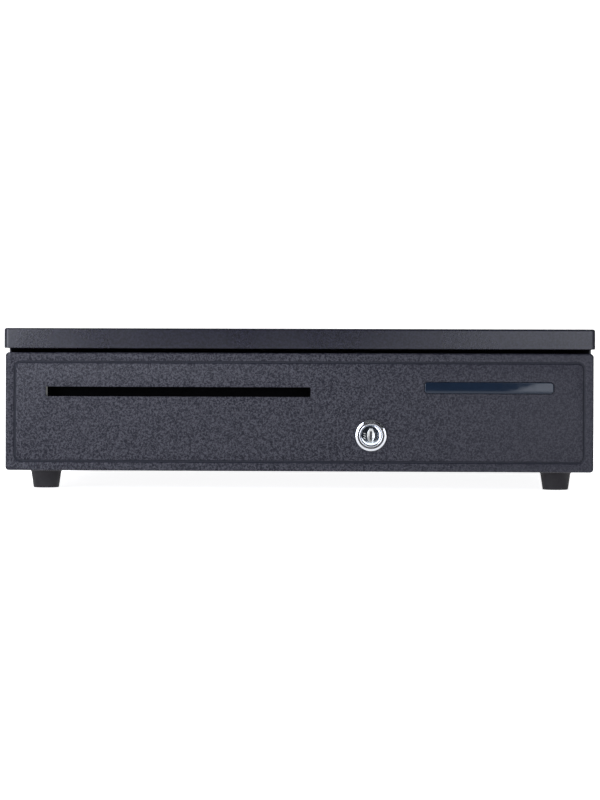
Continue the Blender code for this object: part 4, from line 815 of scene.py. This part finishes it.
def fasteners():
    """Screws in the back, rivets in the sides, and a screw and a rivet at each bracket fixing."""
    pan_low, pan_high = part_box("base_pan")
    back_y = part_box("back_panel")[1].y
    from_edge = 0.008
    for i, x in enumerate((-0.170, 0.0, 0.170)):
        for j, z in enumerate((pan_low.z + from_edge, COVER[0].z - from_edge)):
            head = screw_head((x, back_y, z), "+Y")
            piece(f"back_screw_{i + 1}_{j + 1}", head, BRIGHT, "case", (), sharp=35)
    rail_height = box_centre("case_rail_right").z
    for side, sign in (("left", -1), ("right", 1)):
        facing = ("+" if sign > 0 else "-") + "X"
        for i, y in enumerate((-0.150, -0.020, 0.110)):
            head = screw_head((sign * pan_high.x, y, rail_height), facing, 0.0030, 0.0009, False)
            piece(f"side_rivet_{side}_{i + 1}", head, COAT, "case", (), sharp=35)
    bracket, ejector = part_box("latch_bracket"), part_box("ejector_bracket")
    left, right = bracket[0].x + 0.007, bracket[1].x - 0.007
    near, far = bracket[0].y + 0.006, bracket[1].y - 0.006
    spots = [(left, near, bracket), (right, far, bracket), (left, far, bracket), (right, near, bracket)]
    spots += [(x, ejector[1].y - 0.006, ejector) for x in (ejector[0].x + 0.006, ejector[1].x - 0.006)]
    sheet = 0.0015
    for i, (x, y, held) in enumerate(spots):
        under = screw_head((x, y, pan_low.z), "-Z", 0.0030, 0.0013)
        piece(f"under_screw_{i + 1}", under, BRIGHT, "case", ())
        rivet = screw_head((x, y, held[0].z + sheet), "+Z", 0.0028, 0.0011, False)
        piece(f"bracket_rivet_{i + 1}", rivet, BRIGHT, "case")


# ---------------------------------------------------------------- springs


def helix(radius, wire, low, high, turns, axis, centre, steps=28):
    """A coil spring of wire radius wire between low and high along axis, its end turns closed up."""
    count = round(turns * steps)
    length = high - low - 2 * wire
    dead = 0.8  # turns closed up at each end
    closed = dead / turns
    pitch = 0.9 * wire  # along the spring, for each closed turn
    path = []
    for i in range(count + 1):
        share = i / count
        turn = turns * share
        if share < closed:
            along = pitch * turn
        elif share > 1 - closed:
            along = length - pitch * (turns - turn)
        else:
            rest = pitch * dead
            along = rest + (length - 2 * rest) * (share - closed) / (1 - 2 * closed)
        a = 2 * math.pi * turn
        point = Vector(on_axis(axis, radius * math.cos(a), radius * math.sin(a), low + wire + along))
        path.append(point + Vector(on_axis(axis, *centre, 0)))
    return swept(path, wire, 8)


def springs():
    """Coils for the solenoid and the ejector, and for the five note clips."""
    low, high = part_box("plunger_spring")
    coil = box_centre("solenoid_coil")
    centre = (coil.y, coil.z)
    shape = helix(0.0052, 0.0004, low.x, high.x, 7, "X", centre)
    spring = piece("plunger_coil_spring", shape, BRIGHT, None, ["plunger_spring"])
    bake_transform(spring)
    low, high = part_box("ejector_spring")
    pusher = box_centre("ejector_pusher")
    shape = helix(0.0075, 0.0007, low.y, high.y, 6.5, "Y", (pusher.x, pusher.z))
    spring = piece("ejector_coil_spring", shape, BRIGHT, None, ["ejector_spring"])
    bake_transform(spring)
    for i in range(1, 6):
        low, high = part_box(f"clip_spring_{i}")
        hinge = Vector(JOINTS[f"bill_clip_{i}_lift"]["pos_m"])
        shape = helix(0.0033, 0.0005, low.x, high.x, 5.25, "X", (hinge.y, hinge.z), 20)
        piece(f"clip_coil_spring_{i}", shape, BRIGHT, "drawer", [f"clip_spring_{i}"])


# ---------------------------------------------------------------- rollers


def rollers():
    """Nylon wheels with a round-edged tread and a groove round the hub."""
    bore, edge, groove = 0.0028, 0.0008, 0.0012
    for end in ("front", "rear"):
        for side in ("left", "right"):
            name = f"{end}_roller_{side}"
            low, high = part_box(name)
            half, radius = (high.x - low.x) / 2, (high.z - low.z) / 2
            profile = [(bore, -half), (0.0042, -half), (0.0044, -half + 0.0002), (0.0045, -half + groove)]
            profile += [(0.0066, -half + groove), (0.0067, -half + 0.0002), (0.0069, -half)]
            profile += arc((radius - edge, -half + edge), edge, 270, 360, 6)
            profile += arc((radius - edge, half - edge), edge, 0, 90, 6)
            profile.append((bore, half))
            wheel = turned(profile, "X", (low + high) / 2, 64, closed=True)
            piece(f"{name}_wheel", wheel, NYLON, name, [name], sharp=40)


# ---------------------------------------------------------------- the CAD nodes that stay


def carried_over():
    """Finishes, and soft edges of the given width, for the CAD nodes that are shown as they are."""
    for name in ("base_pan", "back_panel", "drawer_box"):
        finish_node(name, COAT, 0.0004)
    # The hood inside the note slot is near-black: painted shade for the inside of the slot.
    finish_node("slot_hood", DEEP_SHADE, 0.0003)
    for name in ("microswitch", "cable_socket"):
        finish_node(name, PLASTIC, 0.0003)
    finish_node("till_tray", PLASTIC, 0.0005)
    finish_node("coin_tray", PLASTIC, 0.0006)
    finish_node("ejector_pusher", PLASTIC)
    for i in range(1, 6):
        finish_node(f"bill_clip_{i}", PLASTIC, 0.0003)
    for side in ("left", "right"):
        finish_node(f"case_rail_{side}", STEEL_Y, 0.0002)
        finish_node(f"drawer_rail_{side}", STEEL_Y, 0.0002)
        finish_node(f"front_roller_pin_{side}", BRIGHT)
        finish_node(f"rear_roller_pin_{side}", BRIGHT)
    for name in ("latch_bracket", "solenoid_frame", "ejector_bracket", "striker"):
        finish_node(name, STEEL_X, 0.0002)
    for name in ("latch_lever", "release_lever", "lock_cam"):
        finish_node(name, STEEL_Y, 0.0002)
    for name in ("latch_pivot", "solenoid_plunger", "ejector_clip", "microswitch_leaf"):
        finish_node(name, BRIGHT)
    for name in ("lock_nut", "lock_cam_screw", "release_lever_rivet", "clip_shaft"):
        finish_node(name, BRIGHT)
    finish_node("solenoid_coil", WINDING)
    finish_node("solenoid_lead", CABLE)
    finish_node("switch_lead", CABLE)


# ---------------------------------------------------------------- floor, light


def studio_object(name, mesh, paint, colour, roughness):
    """An object with one plain material, and that material's shader."""
    shape = bpy.data.meshes.new(name)
    mesh.to_mesh(shape)
    mesh.free()
    material = bpy.data.materials.new(paint)
    material.use_nodes = True
    shader = material.node_tree.nodes["Principled BSDF"]
    shader.inputs["Base Color"].default_value = (*colour, 1)
    shader.inputs["Roughness"].default_value = roughness
    shape.materials.append(material)
    made = bpy.data.objects.new(name, shape)
    bpy.context.scene.collection.objects.link(made)
    return made, shader


def stage():
    """White paper that sweeps up behind, and a black cloth behind the camera for dark reflections."""
    reach, sweep_start, sweep, wall_top = 6.0, 3.2, 0.8, 4.0
    sink = 0.0002  # how far the paper lies below the feet
    profile = [(-reach, 0.0), (sweep_start, 0.0)]
    profile += arc((sweep_start, sweep), sweep, 270, 360, 12)[1:]
    profile.append((sweep_start + sweep, wall_top))
    paper = bmesh.new()
    rows = [[paper.verts.new((x, y, z - sink)) for y, z in profile] for x in (-reach, reach)]
    for i in range(len(profile) - 1):
        paper.faces.new((rows[0][i], rows[0][i + 1], rows[1][i + 1], rows[1][i]))
    bmesh.ops.recalc_face_normals(paper, faces=paper.faces)
    floor, shader = studio_object("studio_floor", paper, "studio_paper", (0.9, 0.9, 0.9), 0.9)
    floor.data.shade_smooth()
    shader.inputs["Specular IOR Level"].default_value = 0.1
    shader.inputs["Emission Color"].default_value = (1, 1, 1, 1)
    shader.inputs["Emission Strength"].default_value = 0.88
    cloth = box((-2.6, 2.6), (-3.42, -3.40), (0.0, 2.4))
    flag, _ = studio_object("studio_flag", cloth, "studio_cloth", (0.004, 0.006, 0.010), 1.0)
    flag.visible_camera = False


def area(name, at, towards, size, power, colour=(1, 1, 1)):
    light = bpy.data.lights.new(name, "AREA")
    light.shape = "RECTANGLE"
    light.size, light.size_y = size
    light.energy = power
    light.color = colour
    lamp = bpy.data.objects.new(name, light)
    lamp.location = at
    lamp.rotation_euler = (Vector(towards) - Vector(at)).to_track_quat("-Z", "Y").to_euler()
    bpy.context.scene.collection.objects.link(lamp)


def lights():
    """A dim sky, three cards whose reflections light the cover and the lock, and one from above."""
    world = bpy.data.worlds.new("studio")
    world.use_nodes = True
    background = world.node_tree.nodes["Background"]
    background.inputs["Color"].default_value = (0.90, 0.94, 1.0, 1)
    background.inputs["Strength"].default_value = 0.16
    bpy.context.scene.world = world
    target, cool = (0, FACE_Y, 0.06), (0.88, 0.91, 1.0)
    area("card_left", (-0.72, -1.15, 0.46), (-0.18, FACE_Y, 0.10), (0.50, 0.90), 17.0, cool)
    area("card_right", (0.60, -2.1, 0.46), target, (0.68, 0.90), 9.5, cool)
    area("card_edge", (1.38, -2.1, 0.36), target, (0.40, 0.70), 3.6, cool)
    area("top_light", (0.0, 0.9, 1.6), (0, 0.1, 0), (1.4, 0.9), 14)


# ---------------------------------------------------------------- build

cover()
drawer_front()
name_strip()
lock_body()
lock_plug()
feet()
fasteners()
springs()
rollers()
carried_over()
stage()
lights()
